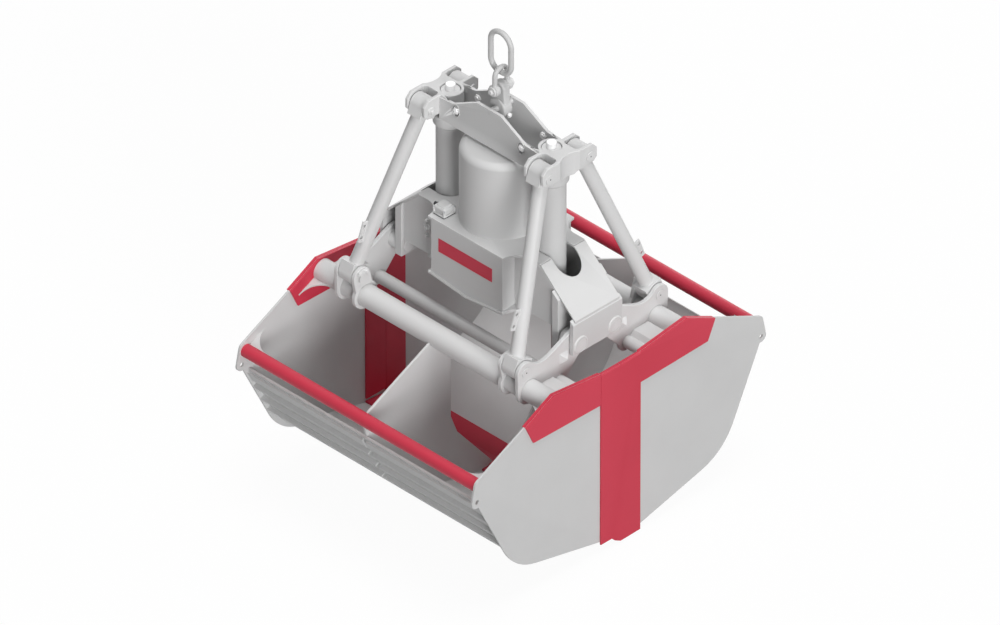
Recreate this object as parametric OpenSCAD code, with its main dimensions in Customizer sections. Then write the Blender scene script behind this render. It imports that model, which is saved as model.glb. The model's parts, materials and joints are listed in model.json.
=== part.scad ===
/* [Suspension] */
// Bar diameter of the master link
ring_bar_d = 26.4; // [20:0.2:32]
// Half width of the master link, on its bar's centre line
ring_half_w = 64; // [50:1:80]
// Straight part of the master link
ring_straight = 86; // [60:1:130]
// Bar diameter of the shackle bow
bow_bar_d = 24; // [18:1:28]
// Inside width of the shackle bow
bow_inside = 53; // [50:1:70]
// Height of the shackle bow, from its pin to its crown's centre line
bow_h = 108; // [100:1:140]
// Diameter of the shackle pin
shackle_pin_d = 28; // [22:1:34]
// Distance between the suspension link's two eyes
link_h = 104; // [100:1:130]
// Width of the suspension link's upper end along its pin
link_w = 40; // [30:1:46]
// Radius of the suspension link's upper eye
link_eye_r = 40; // [34:1:42]
// Height of the suspension link's upper end above the shackle pin, on its round's centre
link_rise = -3; // [-6:1:4]
// Radius of the suspension link's lower hub
link_hub_r = 50; // [42:1:52]
// Width of the lower hub along the crossbar
link_hub_w = 54; // [44:1:60]
// Diameter of the head's crossbar
crossbar_d = 32; // [26:1:36]

/* [Head] */
// Distance between the outer faces of the head plates
head_y = 158; // [140:1:180]
// Thickness of a head plate
head_plate_t = 15; // [10:1:20]
// Height of the head plates' top edge above the upper rod pins
head_rise = 140.5; // [130:0.5:150]
// Depth of the crossbar's middle below that edge
crossbar_drop = 18.5; // [17:0.5:24]
// Height of a head plate at its middle
head_plate_h = 203; // [180:1:230]
// Thickness of a bracket ear
bracket_ear_t = 16; // [12:1:20]
// Reach of a bracket ear beyond its pin
ear_reach = 43; // [36:1:50]
// Depth of a bracket ear below its pin
ear_drop = 37; // [32:1:44]
// Height of a bracket ear above its pin
ear_top = 61; // [56:1:66]
// Diameter of an upper rod pin
upper_pin_d = 40; // [36:1:44]
// Outer diameter of a guard tube
guard_d = 135; // [130:1:140]
// Wall of a guard tube
guard_wall = 5; // [3:0.5:7]
// Width of a guard tube's collar beyond the tube
guard_collar = 13; // [4:1:15]
// Diameter of a piston rod
piston_rod_d = 60; // [50:1:70]
// Diameter of a piston rod's top end
rod_end_d = 46; // [34:1:48]

/* [Frame] */
// Length of the tank along the shells' width
tank_x = 454; // [400:2:480]
// Width of the tank across the shells
tank_y = 436; // [400:2:470]
// Height of the tank's side, from its lower edge to the top of the deck
tank_h = 315; // [280:1:330]
// Drop of the tank's V bottom at its middle
tank_v = 24; // [10:1:36]
// Sheet thickness of the tank and the wings
sheet_t = 10; // [6:1:12]
// Deck plate thickness
deck_t = 14; // [10:1:18]
// How far the tank's flanges stand out
flange_out = 10; // [6:1:16]
// Half length of the flat deck
deck_half = 390; // [385:1:400]
// Width of a wing across the shells
wing_y = 282; // [260:2:300]
// Height of a wing's side
wing_h = 298; // [260:1:300]
// Fall of a sloping cover
cover_fall = 204; // [190:1:214]
// Width of a guard tube's slot
slot_w = 142; // [138:1:150]
// Outer diameter of a cylinder barrel
barrel_d = 114; // [110:1:116]
// Bore of a cylinder barrel
bore_d = 90; // [80:1:96]
// Diameter of the motor housing
motor_d = 378; // [350:2:400]
// Height of the motor housing
motor_h = 405; // [380:5:420]
// Radius of the motor housing's shoulder
motor_shoulder = 34; // [20:1:44]
// Wall of the motor housing
motor_wall = 10; // [6:1:14]
// Side of the junction box
junction_w = 80; // [70:1:90]
// Height of the junction box
junction_h = 52; // [20:1:60]
// Length of the bare nameplate
nameplate_l = 340; // [300:5:360]
// Height of the bare nameplate
nameplate_h = 73; // [60:1:80]

/* [Linkage] */
// Distance of a shell pivot from the middle
pivot_y = 109; // [106:1:112]
// Height of the shell pivots above the parting line of the lips
pivot_z = 1059; // [1050:1:1065]
// Height of the deck above the shell pivots
deck_rise = 341; // [330:1:350]
// Distance of a lower rod pin from the middle
low_y = 426; // [424:1:430]
// Fall of the lower rod pins below the pivots
low_fall = 12; // [8:1:14]
// Distance of an upper rod pin from the middle
top_y = 128; // [126:1:132]
// Height of the upper rod pins above the pivots
top_rise = 824; // [818:1:830]
// Travel of the frame under the head
stroke = 260; // [200:5:260]
// Diameter of a pivot pin
pivot_pin_d = 66; // [60:1:70]
// Diameter of a lower rod pin
low_pin_d = 50; // [44:1:56]
// Diameter of a rod tube
rod_d = 70; // [60:1:70]
// Radius of a rod eye
rod_eye_r = 50; // [46:1:50]
// Width of a rod eye
rod_eye_w = 82; // [78:1:84]
// Play of a rod's upper eye on its pin
upper_play = 14; // [13:0.5:14]

/* [Shells] */
// Width of the shells over their end plates
shell_w = 1508; // [1480:4:1540]
// Reach of one shell from the parting line
reach = 945; // [930:5:960]
// Depth of an end plate's highest point below the shell pivots
plate_drop = 51; // [40:1:60]
// Thickness of an end plate
plate_t = 10; // [8:1:14]
// Thickness of the bucket wall
wall_t = 12; // [8:1:14]
// Height by which the front shell's plates start above the rear one's
lip_step = 30; // [26:1:36]
// Height of the lower lip's underside above the parting line
lip_low = -8; // [-12:1:-4]
// Height of the upper lip's underside above the parting line
lip_high = 31; // [30:1:36]
// Width of a cutting lip
lip_w = 126; // [110:1:140]
// Thickness of a cutting lip
lip_t = 24; // [16:1:26]
// Thickness of the red bands and strips
band_t = 8; // [5:1:10]
// Width of an edge strip on one side of the parting line
strip_w = 126; // [110:1:130]
// Diameter of the big cross tube
big_tube_d = 108; // [100:1:109]
// Diameter of the small cross tube
small_tube_d = 60; // [50:1:64]
// Diameter of the top bar
bar_d = 64; // [56:1:70]
// Wall of the cross tubes and the bar
tube_wall = 8; // [5:0.5:10]
// Thickness of an arm plate
arm_t = 20; // [16:1:22]
// Radius of an arm's hub
hub_r = 76; // [68:1:80]
// Radius of a hub bush
bush_r = 45; // [40:1:50]
// Thickness of the centre rib
rib_t = 12; // [8:1:16]
// Height of a wall rib
wall_rib_h = 22; // [14:1:24]

/* [Hidden] */

$fn = 48;
grey = [0.78, 0.78, 0.78];
light = [0.86, 0.86, 0.86];
steel = [0.66, 0.67, 0.69];
dark = [0.35, 0.36, 0.38];
red = [0.78, 0.20, 0.27];

// Fits and cuts
weld_gap = 0.3;
run_fit = 0.05;
part_gap = 1;
over = 5;

// Places of the linkage
low_z = pivot_z - low_fall;
top_z = pivot_z + top_rise;
upper_shift = 12.5;
eye_y = top_y - upper_shift;
cyl_x = 320;

// Places along the width, from the middle outwards
ear_in_x = 455;
ear_t = arm_t;
arm_x = 565;
low_eye_x = (ear_in_x + ear_t + arm_x) / 2;
cheek_in_x = 478;
cheek_in_t = 39;
cheek_out_x = 593;
cheek_out_t = 22;
cheek_half = 156;
cheek_under = 44;
cheek_low = pivot_z - cheek_under;
top_eye_x = 375;
eye_side_gap = 5;
ear_gap = rod_eye_w + eye_side_gap * 2;
shell_h = pivot_z - plate_drop;
half_w = shell_w / 2;
inner_w = half_w - plate_t;

// Heights of the frame
deck_z = pivot_z + deck_rise;
cover_run = 223;
cover_slope = cover_fall / cover_run;
cover_dz = sheet_t / cos(atan(cover_slope));
tank_low = deck_z - tank_h;
wing_low = deck_z - wing_h;
slot_end_x = 410;
barrel_rise = 288;
barrel_top = deck_z + barrel_rise;
barrel_low = wing_low + sheet_t;

// Heights of the suspension
ring_flat = 16;
head_top_z = top_z + head_rise;
crossbar_z = head_top_z - crossbar_drop;
shackle_z = crossbar_z + link_h;
bow_z = shackle_z + bow_h;
ring_low_z = bow_z - (bow_bar_d + ring_bar_d) / 2 - weld_gap;
ring_corner_r = ring_half_w - ring_flat / 2;
ring_c_z = ring_low_z + ring_half_w;
ring_top_z = ring_c_z + ring_straight;
hang_h = ring_top_z + ring_half_w - ring_bar_d / 2;

// Outline of an end plate above its rounded corner, as shares of the reach and the height
plate_top_shares = [[0.945, 0.617], [0.957, 0.656], [0.988, 0.672], [0.971, 0.746], [0.965, 0.76],
    [0.952, 0.769], [0.638, 0.911], [0.449, 1], [0.133, 0.964], [0, 0.955]];
plate_corner_shares = [[0.566, 0.125], [0.704, 0.159], [0.770, 0.280]];
lug_share = [0.957, 0.656];
// Path of the wall's outer face: top edge, end of the steep part, corner, start and end of floor
wall_top_share = [0.919, 0.614];
wall_steep_share = [0.755, 0.309];
wall_corner_share = [0.675, 0.166];
wall_floor_share = [0.524, 0.128];
wall_end_share = [0.095, 0.023];
// Free edge of the centre rib, from the big tube round to the lip
rib_edge_shares = [[0.486, 0.923], [0.343, 0.848], [0.343, 0.455], [0.300, 0.348], [0.062, 0.067]];
// Outline of a top band, and the heights of its end at the edge strip
band_shares = [[0.449, 1], [0.638, 0.911], [0.587, 0.808]];
band_end_shares = [0.799, 0.964];
bar_share = [0.932, 0.725];
big_tube_share = [0.4267, 0.934];
small_tube_share = [0.2276, 0.890];
blend_share = 0.6;
// Places of the wall ribs down the steep part, as shares of its length
rib_shares = [0.36, 0.66, 0.92];
flat_bar_share = 0.05;
rib_split = 10;

lug_r = 32;
lug_hole_r = 11;
flat_bar_w = 60;
gusset = 110;
gusset_t = 8;
mouth_lean = 25;

function bend(a, c, b, n) =
    [for (i = [0:n]) let (t = i / n) (1 - t) * (1 - t) * a + 2 * t * (1 - t) * c + t * t * b];
function drop(p, dz) = [p[0], p[1] + dz * max(0, 1 - p[1] / shell_h / blend_share)];
function at(s, dz = 0) = drop([s[0] * reach, s[1] * shell_h], dz);
function ats(list, dz = 0) = [for (s = list) at(s, dz)];
function shift_path(p, t) = [for (i = [0:len(p) - 1])
    let (a = p[max(i - 1, 0)], b = p[min(i + 1, len(p) - 1)], d = (b - a) / norm(b - a))
    p[i] + t * [d[1], -d[0]]];
function reversed(p) = [for (i = [len(p) - 1:-1:0]) p[i]];
function cover_z(x) = deck_z - cover_slope * (x - deck_half);
// What carries a cover stands just clear of its underside
function cover_low(x) = cover_z(x) - cover_dz - run_fit;

function wall_path(dz) = concat([at(wall_top_share, dz)],
    bend(at(wall_steep_share, dz), at(wall_corner_share, dz), at(wall_floor_share, dz), bend_steps),
    [wall_end(dz)]);
bend_steps = 9;
// The wall stops at the lip, on the line of the floor
function wall_end(dz) = let (a = at(wall_floor_share, dz), b = at(wall_end_share, dz),
    lean = (a[1] - b[1]) / norm(a - b))
    a + (b - a) * (a[0] - lip_w - weld_gap - wall_t * lean) / (a[0] - b[0]);
lip_slope = plate_corner_shares[0][1] * shell_h / (plate_corner_shares[0][0] * reach);
strip_top = plate_top_shares[len(plate_top_shares) - 1][1] * shell_h;
// The slope of the plate's lower edge ends where it comes down to the lip's underside
function foot_y(dz, foot) = let (c = at(plate_corner_shares[0], dz))
    part_gap + (foot - dz) / (c[1] - dz) * (c[0] - part_gap);
function plate_outline(dz, foot) = concat([[part_gap, foot], [foot_y(dz, foot), foot]],
    bend(at(plate_corner_shares[0], dz), at(plate_corner_shares[1], dz),
        at(plate_corner_shares[2], dz), bend_steps),
    ats([for (i = [0:len(plate_top_shares) - 2]) plate_top_shares[i]], dz),
    [[part_gap, plate_top_shares[len(plate_top_shares) - 1][1] * shell_h]]);

big_tube = at(big_tube_share);
small_tube = at(small_tube_share);
top_bar = at(bar_share);
pivot = [pivot_y, pivot_z];
low_pin = [low_y, low_z];

// Everything is drawn above the lips and then hung from the master link's crown
module hung() { translate([0, 0, -hang_h]) children(); }
// A flat outline in Y and Z, drawn out along X
module along_x(x0, x1) { translate([x0, 0, 0]) rotate([90, 0, 90]) linear_extrude(x1 - x0) children(); }
// A flat outline in X and Z, drawn out along Y
module along_y(y0, y1) { translate([0, y1, 0]) rotate([90, 0, 0]) linear_extrude(y1 - y0) children(); }
module rod_x(x0, x1, p, r) { translate([x0, p[0], p[1]]) rotate([0, 90, 0]) cylinder(r = r, h = x1 - x0); }
module rod_y(y0, y1, p, r) { translate([p[0], y1, p[1]]) rotate([90, 0, 0]) cylinder(r = r, h = y1 - y0); }
module both_x() { children(); mirror([1, 0, 0]) children(); }
module both_y() { children(); mirror([0, 1, 0]) children(); }
module stick(a, b, r) {
    d = b - a;
    translate(a) rotate([0, acos(d[2] / norm(d)), atan2(d[1], d[0])]) cylinder(r = r, h = norm(d));
}
module hexagon(across, h) { cylinder(r = across / sqrt(3), h = h, $fn = 6); }

// Suspension
module master_link() color(steel) hung() {
    for (s = [-1, 1]) translate([s * ring_half_w, 0, ring_low_z + ring_corner_r])
        cylinder(d = ring_bar_d, h = ring_top_z - ring_low_z - ring_corner_r);
    translate([0, 0, ring_top_z]) rotate([90, 0, 0]) rotate_extrude(angle = 180)
        translate([ring_half_w, 0]) circle(d = ring_bar_d);
    // The shackle hangs on the short straight part at the bottom
    rod_x(-ring_flat / 2, ring_flat / 2, [0, ring_low_z], ring_bar_d / 2);
    for (s = [-1, 1]) translate([s * ring_flat / 2, 0, ring_low_z + ring_corner_r])
        rotate([90, 0, 0]) rotate([0, 0, s > 0 ? -90 : 180]) rotate_extrude(angle = 90)
            translate([ring_corner_r, 0]) circle(d = ring_bar_d);
}
bow_r = (bow_inside + bow_bar_d) / 2;
bow_ear_share = 1.03;
bow_ear_r = shackle_pin_d * bow_ear_share;
bow_half_share = 0.54;
bow_ear_half = bow_bar_d * bow_half_share;
module shackle_bow() color(steel) hung() difference() {
    union() {
        translate([0, 0, bow_z - bow_r]) rotate([90, 0, 90]) rotate_extrude(angle = 180)
            translate([bow_r, 0]) circle(d = bow_bar_d);
        both_y() {
            translate([0, bow_r, shackle_z]) cylinder(d = bow_bar_d, h = bow_h - bow_r);
            rod_y(bow_r - bow_ear_half, bow_r + bow_ear_half, [0, shackle_z], bow_ear_r);
        }
    }
    rod_y(-bow_r - bow_bar_d, bow_r + bow_bar_d, [0, shackle_z], shackle_pin_d / 2 + run_fit);
}
pin_head_t = 16;
pin_head_r = 20;
nut_across = 40;
nut_t = 22;
module shackle_pin() color(steel) hung() {
    end = bow_r + bow_ear_half;
    rod_y(-end - nut_t, end + pin_head_t, [0, shackle_z], shackle_pin_d / 2);
    rod_y(end, end + pin_head_t, [0, shackle_z], pin_head_r);
    translate([0, -end, shackle_z]) rotate([90, 0, 0]) hexagon(nut_across, nut_t);
}
lock_d = 14;
lock_head_t = 10;
lock_across = 22;
module suspension_link() color(steel) hung() difference() {
    union() {
        rod_y(-link_w / 2, link_w / 2, [0, shackle_z + link_rise], link_eye_r);
        rod_y(-link_hub_w / 2, link_hub_w / 2, [0, crossbar_z], link_hub_r);
        translate([-link_eye_r, -link_w / 2, crossbar_z])
            cube([link_eye_r * 2, link_w, shackle_z + link_rise - crossbar_z]);
    }
    rod_y(-link_w, link_w, [0, shackle_z], shackle_pin_d / 2 + run_fit);
    rod_y(-link_w, link_w, [0, crossbar_z], crossbar_d / 2 + run_fit);
    rod_x(-lock_d, link_hub_r * 2, [0, lock_z], lock_d / 2 + run_fit);
}
// The bolt passes just under the crossbar
lock_z = crossbar_z - (crossbar_d + lock_d) / 2 - part_gap;
module lock_bolt() color(light) hung() {
    rod_x(-lock_d + part_gap, link_hub_r + lock_d, [0, lock_z], lock_d / 2);
    translate([link_hub_r, 0, lock_z]) rotate([0, 90, 0]) hexagon(lock_across, lock_head_t);
}

// Head
head_in = head_y / 2 - head_plate_t;
plate_end_x = top_eye_x - ear_gap / 2 - bracket_ear_t;
head_low = head_top_z - head_plate_h;
head_outline_shares = [[0.24, 1], [0.72, 0.6], [1, 0.565]];
tie_share = 0.66;
tie_z_share = 0.465;
tie = [plate_end_x * tie_share, head_low + head_plate_h * tie_z_share];
tie_r = 11;
tie_recess = 8;
tie_slot_r = 22;
tie_slot_rise = 10;
tie_across = 33;
tie_head_t = 9;
core_step = 5;
crossbar_core_r = crossbar_d / 2 - core_step;
function head_outline() = [for (s = head_outline_shares)
    [s[0] * plate_end_x, head_low + s[1] * head_plate_h]];
module head_plates() color(grey) hung() both_y() difference() {
    along_y(head_in, head_y / 2) polygon(concat([[-plate_end_x, head_low], [plate_end_x, head_low]],
        reversed(head_outline()), [for (p = head_outline()) [-p[0], p[1]]]));
    for (s = [-1, 1]) {
        rod_y(0, head_y, [s * tie[0], tie[1]], tie_r + run_fit);
        for (k = [-1, 1])
            rod_y(head_y / 2 - tie_recess, head_y, [s * tie[0], tie[1] + k * tie_slot_rise], tie_slot_r);
    }
    rod_y(0, head_y, [0, crossbar_z], crossbar_core_r + run_fit);
}
module crossbar() color(grey) hung() {
    rod_y(-head_in, head_in, [0, crossbar_z], crossbar_d / 2);
    rod_y(-head_y / 2, head_y / 2, [0, crossbar_z], crossbar_core_r);
}
bracket_top = top_z + ear_top;
bracket_low = head_low;
recess_r = 48;
recess_t = 11;
recess_rim = 14;
bracket_out_x = top_eye_x + ear_gap / 2 + bracket_ear_t;
boss_side_gap = 4;
boss_half = head_in - boss_side_gap;
ear_low = top_z - ear_drop;
ear_end = top_y + ear_reach;
ear_chamfer = 29;
ear_undercut = 20;
module bracket_ear(x0, x1) difference() {
    along_x(x0, x1) polygon([[0, bracket_low], [boss_half - ear_undercut, bracket_low],
        [boss_half + eye_side_gap, ear_low], [ear_end - ear_undercut, ear_low],
        [ear_end, ear_low + ear_undercut], [ear_end, bracket_top - ear_chamfer],
        [ear_end - ear_chamfer, bracket_top], [0, bracket_top]]);
    rod_x(x0 - over, x1 + over, [top_y, top_z], upper_pin_d / 2 + run_fit);
}
module bracket_plan() {
    // A round boss inboard, between the head plates
    translate([cyl_x, 0]) circle(r = recess_r + recess_rim);
    translate([plate_end_x, -boss_half]) square([bracket_out_x - plate_end_x, boss_half * 2]);
}
module head_brackets() color(grey) hung() both_x() difference() {
    union() {
        translate([0, 0, bracket_low]) linear_extrude(bracket_top - bracket_low) bracket_plan();
        both_y() {
            bracket_ear(plate_end_x, plate_end_x + bracket_ear_t);
            bracket_ear(bracket_out_x - bracket_ear_t, bracket_out_x);
        }
    }
    translate([cyl_x, 0, bracket_top - recess_t]) cylinder(r = recess_r, h = head_y);
    translate([cyl_x, 0, bracket_low - over]) cylinder(d = rod_end_d + run_fit * 2, h = head_y * 2);
    translate([cyl_x, 0, bracket_low - over]) cylinder(d = piston_rod_d + run_fit * 2, h = over + rod_seat);
    // Round waist in the outer face
    translate([bracket_out_x + waist_r - waist, 0, bracket_low - over]) cylinder(r = waist_r, h = head_y * 2);
}
rod_seat = 30;
waist_r = 96;
waist = 22;
module head_bolts() color(steel) hung() both_x() both_y() {
    rod_y(head_in - tie_head_t - tie_r / 2, head_y / 2 + tie_r / 2, tie, tie_r);
    translate([tie[0], head_in, tie[1]]) rotate([90, 0, 0]) hexagon(tie_across, tie_head_t);
    translate([tie[0], head_y / 2 - tie_recess, tie[1]]) rotate([-90, 0, 0]) hexagon(tie_across, tie_head_t);
}
module upper_rod_pins() color(light) hung() both_x() both_y() {
    rod_x(plate_end_x - pin_out, bracket_out_x + pin_out, [top_y, top_z], upper_pin_d / 2);
    rod_x(bracket_out_x + run_fit, bracket_out_x + pin_out, [top_y, top_z], pin_disc_r);
}
pin_disc_r = 25;
pin_out = 5;
guard_low = deck_z - stroke - deck_t - over;
collar_t = 50;
taper_t = 14;
module guard_tubes() color(grey) hung() both_x() translate([cyl_x, 0, 0]) difference() {
    union() {
        translate([0, 0, guard_low]) cylinder(d = guard_d, h = head_low - guard_low);
        translate([0, 0, head_low - collar_t]) cylinder(r = guard_d / 2 + guard_collar, h = collar_t);
        translate([0, 0, head_low - collar_t - taper_t])
            cylinder(r1 = guard_d / 2, r2 = guard_d / 2 + guard_collar, h = taper_t);
    }
    translate([0, 0, guard_low - over]) cylinder(r = guard_d / 2 - guard_wall, h = head_low);
}
piston_t = 50;
rod_show = 36;
module piston_rods() color(light) hung() both_x() translate([cyl_x, 0, 0]) {
    base = barrel_low + barrel_floor + over;
    translate([0, 0, base]) cylinder(d = bore_d - run_fit * 2, h = piston_t);
    translate([0, 0, base]) cylinder(d = piston_rod_d, h = bracket_low + rod_seat - base);
    translate([0, 0, base]) cylinder(d = rod_end_d, h = bracket_top - recess_t + rod_show - base);
}

// Frame
function tank_outline(g) = [[-tank_x / 2 + g, deck_z - deck_t], [-tank_x / 2 + g, tank_low + g],
    [0, tank_low - tank_v + g], [tank_x / 2 - g, tank_low + g], [tank_x / 2 - g, deck_z - deck_t]];
module slot_plan() {
    translate([cyl_x, 0]) circle(d = slot_w);
    translate([cyl_x, -slot_w / 2]) square([slot_end_x - cyl_x, slot_w]);
    translate([slot_end_x, 0]) circle(d = slot_w);
}
module flange_plan() {
    hollow = (tank_y - wing_y) / 2 + flange_out;
    difference() {
        square([tank_x + flange_out * 2 + hollow * 2, tank_y + flange_out * 2], center = true);
        for (i = [-1, 1], k = [-1, 1])
            translate([i * (tank_x / 2 + flange_out + hollow), k * (tank_y / 2 + flange_out)])
                circle(r = hollow);
    }
}
module tank_body() color(grey) hung() {
    difference() {
        along_y(-tank_y / 2, tank_y / 2) polygon(tank_outline(0));
        along_y(-tank_y / 2 + sheet_t, tank_y / 2 - sheet_t) polygon(tank_outline(sheet_t));
    }
    // Lower flange, along the V bottom
    both_y() along_y(tank_y / 2, tank_y / 2 + flange_out) polygon([[-tank_x / 2, tank_low],
        [0, tank_low - tank_v], [tank_x / 2, tank_low], [tank_x / 2, tank_low + sheet_t],
        [0, tank_low - tank_v + sheet_t], [-tank_x / 2, tank_low + sheet_t]]);
    // Hollow-edged corners under the wings' sides
    translate([0, 0, tank_low]) linear_extrude(wing_low - tank_low) difference() {
        flange_plan();
        square([tank_x, tank_y * 2], center = true);
        square([tank_x * 2, wing_y - sheet_t * 2], center = true);
    }
}
shaft_r = 25;
shaft_hole_r = 40;
module deck_plate() color(light) hung() translate([0, 0, deck_z - deck_t]) linear_extrude(deck_t)
    difference() {
        union() {
            flange_plan();
            square([deck_half * 2, wing_y], center = true);
        }
        slot_plan();
        mirror([1, 0]) slot_plan();
        circle(r = shaft_hole_r);
    }
module wing_boxes() color(grey) hung() both_x() {
    under = deck_z - deck_t;
    both_y() along_y(wing_y / 2 - sheet_t, wing_y / 2) polygon([[tank_x / 2, wing_low],
        [cheek_in_x, wing_low], [cheek_in_x, cover_low(cheek_in_x)],
        [deck_half, min(under, cover_low(deck_half))], [tank_x / 2, under]]);
    translate([tank_x / 2, -wing_y / 2 + sheet_t, wing_low])
        cube([cheek_in_x - tank_x / 2, wing_y - sheet_t * 2, sheet_t]);
}
cover_end_x = cheek_out_x + cheek_out_t;
cover_seam = 3;
module wing_covers() color(light) hung() both_x() difference() {
    a = deck_half + cover_seam;
    b = cover_end_x - cover_seam;
    along_y(-wing_y / 2, wing_y / 2) polygon([[a, cover_z(a)], [b, cover_z(b)],
        [b, cover_z(b) - cover_dz], [a, cover_z(a) - cover_dz]]);
    translate([0, 0, wing_low]) linear_extrude(deck_z) slot_plan();
}
web_t = 20;
module cheek_plates() color(grey) hung() both_x() difference() {
    union() {
        for (c = [[cheek_in_x, cheek_in_t], [cheek_out_x, cheek_out_t]])
            along_y(-cheek_half, cheek_half) polygon([[c[0], cheek_low], [c[0] + c[1], cheek_low],
                [c[0] + c[1], cover_low(c[0] + c[1])], [c[0], cover_low(c[0])]]);
        along_y(-web_t / 2, web_t / 2) polygon([[cheek_in_x, cheek_low], [cheek_out_x + part_gap, cheek_low],
            [cheek_out_x + part_gap, cover_low(cheek_out_x + part_gap)], [cheek_in_x, cover_low(cheek_in_x)]]);
    }
    for (s = [-1, 1])
        rod_x(cheek_in_x - over, cover_end_x + over, [s * pivot_y, pivot_z], pivot_pin_d / 2 + run_fit);
}
pin_cap_t = 5;
pin_collar = 10;
module pivot_pins() color(steel) hung() both_x() both_y() {
    rod_x(cheek_in_x - pin_cap_t, cover_end_x + pin_cap_t, pivot, pivot_pin_d / 2);
    difference() {
        rod_x(cover_end_x, cover_end_x + pin_cap_t - part_gap, pivot, pivot_pin_d / 2 + pin_collar);
        rod_x(cover_end_x - over, cover_end_x + pin_cap_t + over, pivot, pivot_pin_d / 2 + run_fit);
    }
}
motor_r = motor_d / 2;
function shoulder(r, z, s) = [for (a = [0:15:90]) [r - s + s * cos(a), z - s + s * sin(a)]];
module motor_housing() color(light) hung() rotate_extrude($fn = 96)
    polygon(concat([[motor_r - motor_wall, deck_z], [motor_r, deck_z]],
        shoulder(motor_r, deck_z + motor_h, motor_shoulder),
        [[0, deck_z + motor_h], [0, deck_z + motor_h - motor_wall]],
        reversed(shoulder(motor_r - motor_wall, deck_z + motor_h - motor_wall, motor_shoulder - motor_wall))));
stator_rise = 70;
stator_z = deck_z + stator_rise;
stator_share = 0.52;
stator_h = motor_h * stator_share;
rotor_share = 0.5;
rotor_r = motor_r * rotor_share;
module motor_stator() color(dark) hung() translate([0, 0, stator_z]) difference() {
    cylinder(r = motor_r - motor_wall - weld_gap, h = stator_h);
    translate([0, 0, -over]) cylinder(r = rotor_r + part_gap, h = stator_h + over * 2);
}
coupling_drop = 12;
coupling_top = deck_z - deck_t - coupling_drop;
coupling_h = 60;
coupling_r = 45;
module motor_rotor() color(steel) hung() {
    translate([0, 0, stator_z]) cylinder(r = rotor_r, h = stator_h);
    translate([0, 0, coupling_top - coupling_h / 2])
        cylinder(r = shaft_r, h = stator_z + stator_h + shaft_r - coupling_top);
}
module shaft_coupling() color(dark) hung() translate([0, 0, coupling_top - coupling_h]) difference() {
    cylinder(r = coupling_r, h = coupling_h);
    translate([0, 0, -over]) cylinder(r = shaft_r + run_fit, h = coupling_h + over * 2);
}
pump_r = 80;
pump_h = 120;
pump_low = coupling_top - coupling_h - over - pump_h;
pump_rotor_r = 52;
module pump_housing() color(dark) hung() difference() {
    union() {
        translate([0, 0, pump_low]) cylinder(r = pump_r, h = pump_h);
        // Two hangers up to the deck
        both_x() translate([pump_r - sheet_t, -pump_r / 2, pump_low])
            cube([sheet_t * 2, pump_r, deck_z - deck_t - pump_low]);
    }
    translate([0, 0, pump_low + sheet_t]) cylinder(r = pump_rotor_r + run_fit, h = pump_h - sheet_t * 2);
    translate([0, 0, pump_low + sheet_t]) cylinder(r = shaft_r + run_fit * 2, h = pump_h);
}
module pump_rotor() color(steel) hung() {
    translate([0, 0, pump_low + sheet_t + part_gap])
        cylinder(r = pump_rotor_r, h = pump_h - sheet_t * 2 - part_gap * 2);
    translate([0, 0, pump_low + sheet_t + part_gap])
        cylinder(r = shaft_r, h = coupling_top - coupling_h / 2 - part_gap - pump_low - sheet_t - part_gap);
}
block = [90, 110, 100];
block_x = 160;
module valve_block() color(dark) hung() difference() {
    translate([block_x - block[0] / 2, -block[1] / 2, deck_z - deck_t - block[2]]) cube(block);
    for (s = [-1, 1]) translate([block_x, s * block[1] / 4, deck_z - deck_t - block[2] - over])
        cylinder(d = lock_d, h = block[2] / 2);
}
filter_r = 45;
filter_h = 130;
module suction_filter() color(steel) hung() translate([-block_x, 0, deck_z - deck_t - filter_h]) difference() {
    cylinder(r = filter_r, h = filter_h);
    translate([0, 0, -over]) cylinder(r = filter_r - over, h = filter_h - over);
}
gland_t = 40;
barrel_floor = 15;
module cylinder_barrels() color(steel) hung() both_x() translate([cyl_x, 0, barrel_low]) difference() {
    cylinder(d = barrel_d, h = barrel_top - barrel_low);
    translate([0, 0, barrel_floor]) cylinder(d = bore_d, h = barrel_top);
}
module cylinder_glands() color(dark) hung() both_x() translate([cyl_x, 0, barrel_top - gland_t]) difference() {
    cylinder(d = bore_d - run_fit * 2, h = gland_t);
    translate([0, 0, -over]) cylinder(d = piston_rod_d + run_fit * 2, h = gland_t + over * 2);
}
junction = [-198, -162];
junction_notch_r = 8;
junction_core_w = 56;
junction_screw_pitch = 60;
module junction_box() color(light) hung() translate([junction[0], junction[1], deck_z]) difference() {
    linear_extrude(junction_h) difference() {
        square(junction_w, center = true);
        for (i = [-1, 1], k = [-1, 1]) translate([i, k] * junction_w / 2) circle(r = junction_notch_r);
    }
    translate([0, 0, junction_h / 3]) linear_extrude(junction_h / 3) square(junction_core_w, center = true);
}
screw_r = 5;
screw_head_t = 4;
module junction_screws() color(steel) hung() translate([junction[0], junction[1], deck_z])
    for (i = [-1, 1], k = [-1, 1]) translate([i, k] * junction_screw_pitch / 2) translate([0, 0, junction_h])
        cylinder(r = screw_r, h = screw_head_t);
cable_r = 9;
cable_nut = 22;
cable_gland_l = 20;
module cable_gland() color(dark) hung()
    translate([junction[0] - junction_w / 2, junction[1], deck_z + junction_h / 2])
    rotate([0, -90, 0]) difference() {
        union() {
            hexagon(cable_nut, cable_r);
            cylinder(r = cable_r, h = cable_gland_l);
        }
        translate([0, 0, over]) cylinder(r = cable_r / 2, h = cable_gland_l);
    }
nameplate_x = -8;
nameplate_z = 1263;
nameplate_t = 2;
module nameplate() color(red) hung()
    translate([nameplate_x - nameplate_l / 2, -tank_y / 2 - nameplate_t, nameplate_z - nameplate_h / 2])
        cube([nameplate_l, nameplate_t, nameplate_h]);
fitting_r = 10;
fitting_core_r = 6;
fitting_l = 20;
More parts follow.
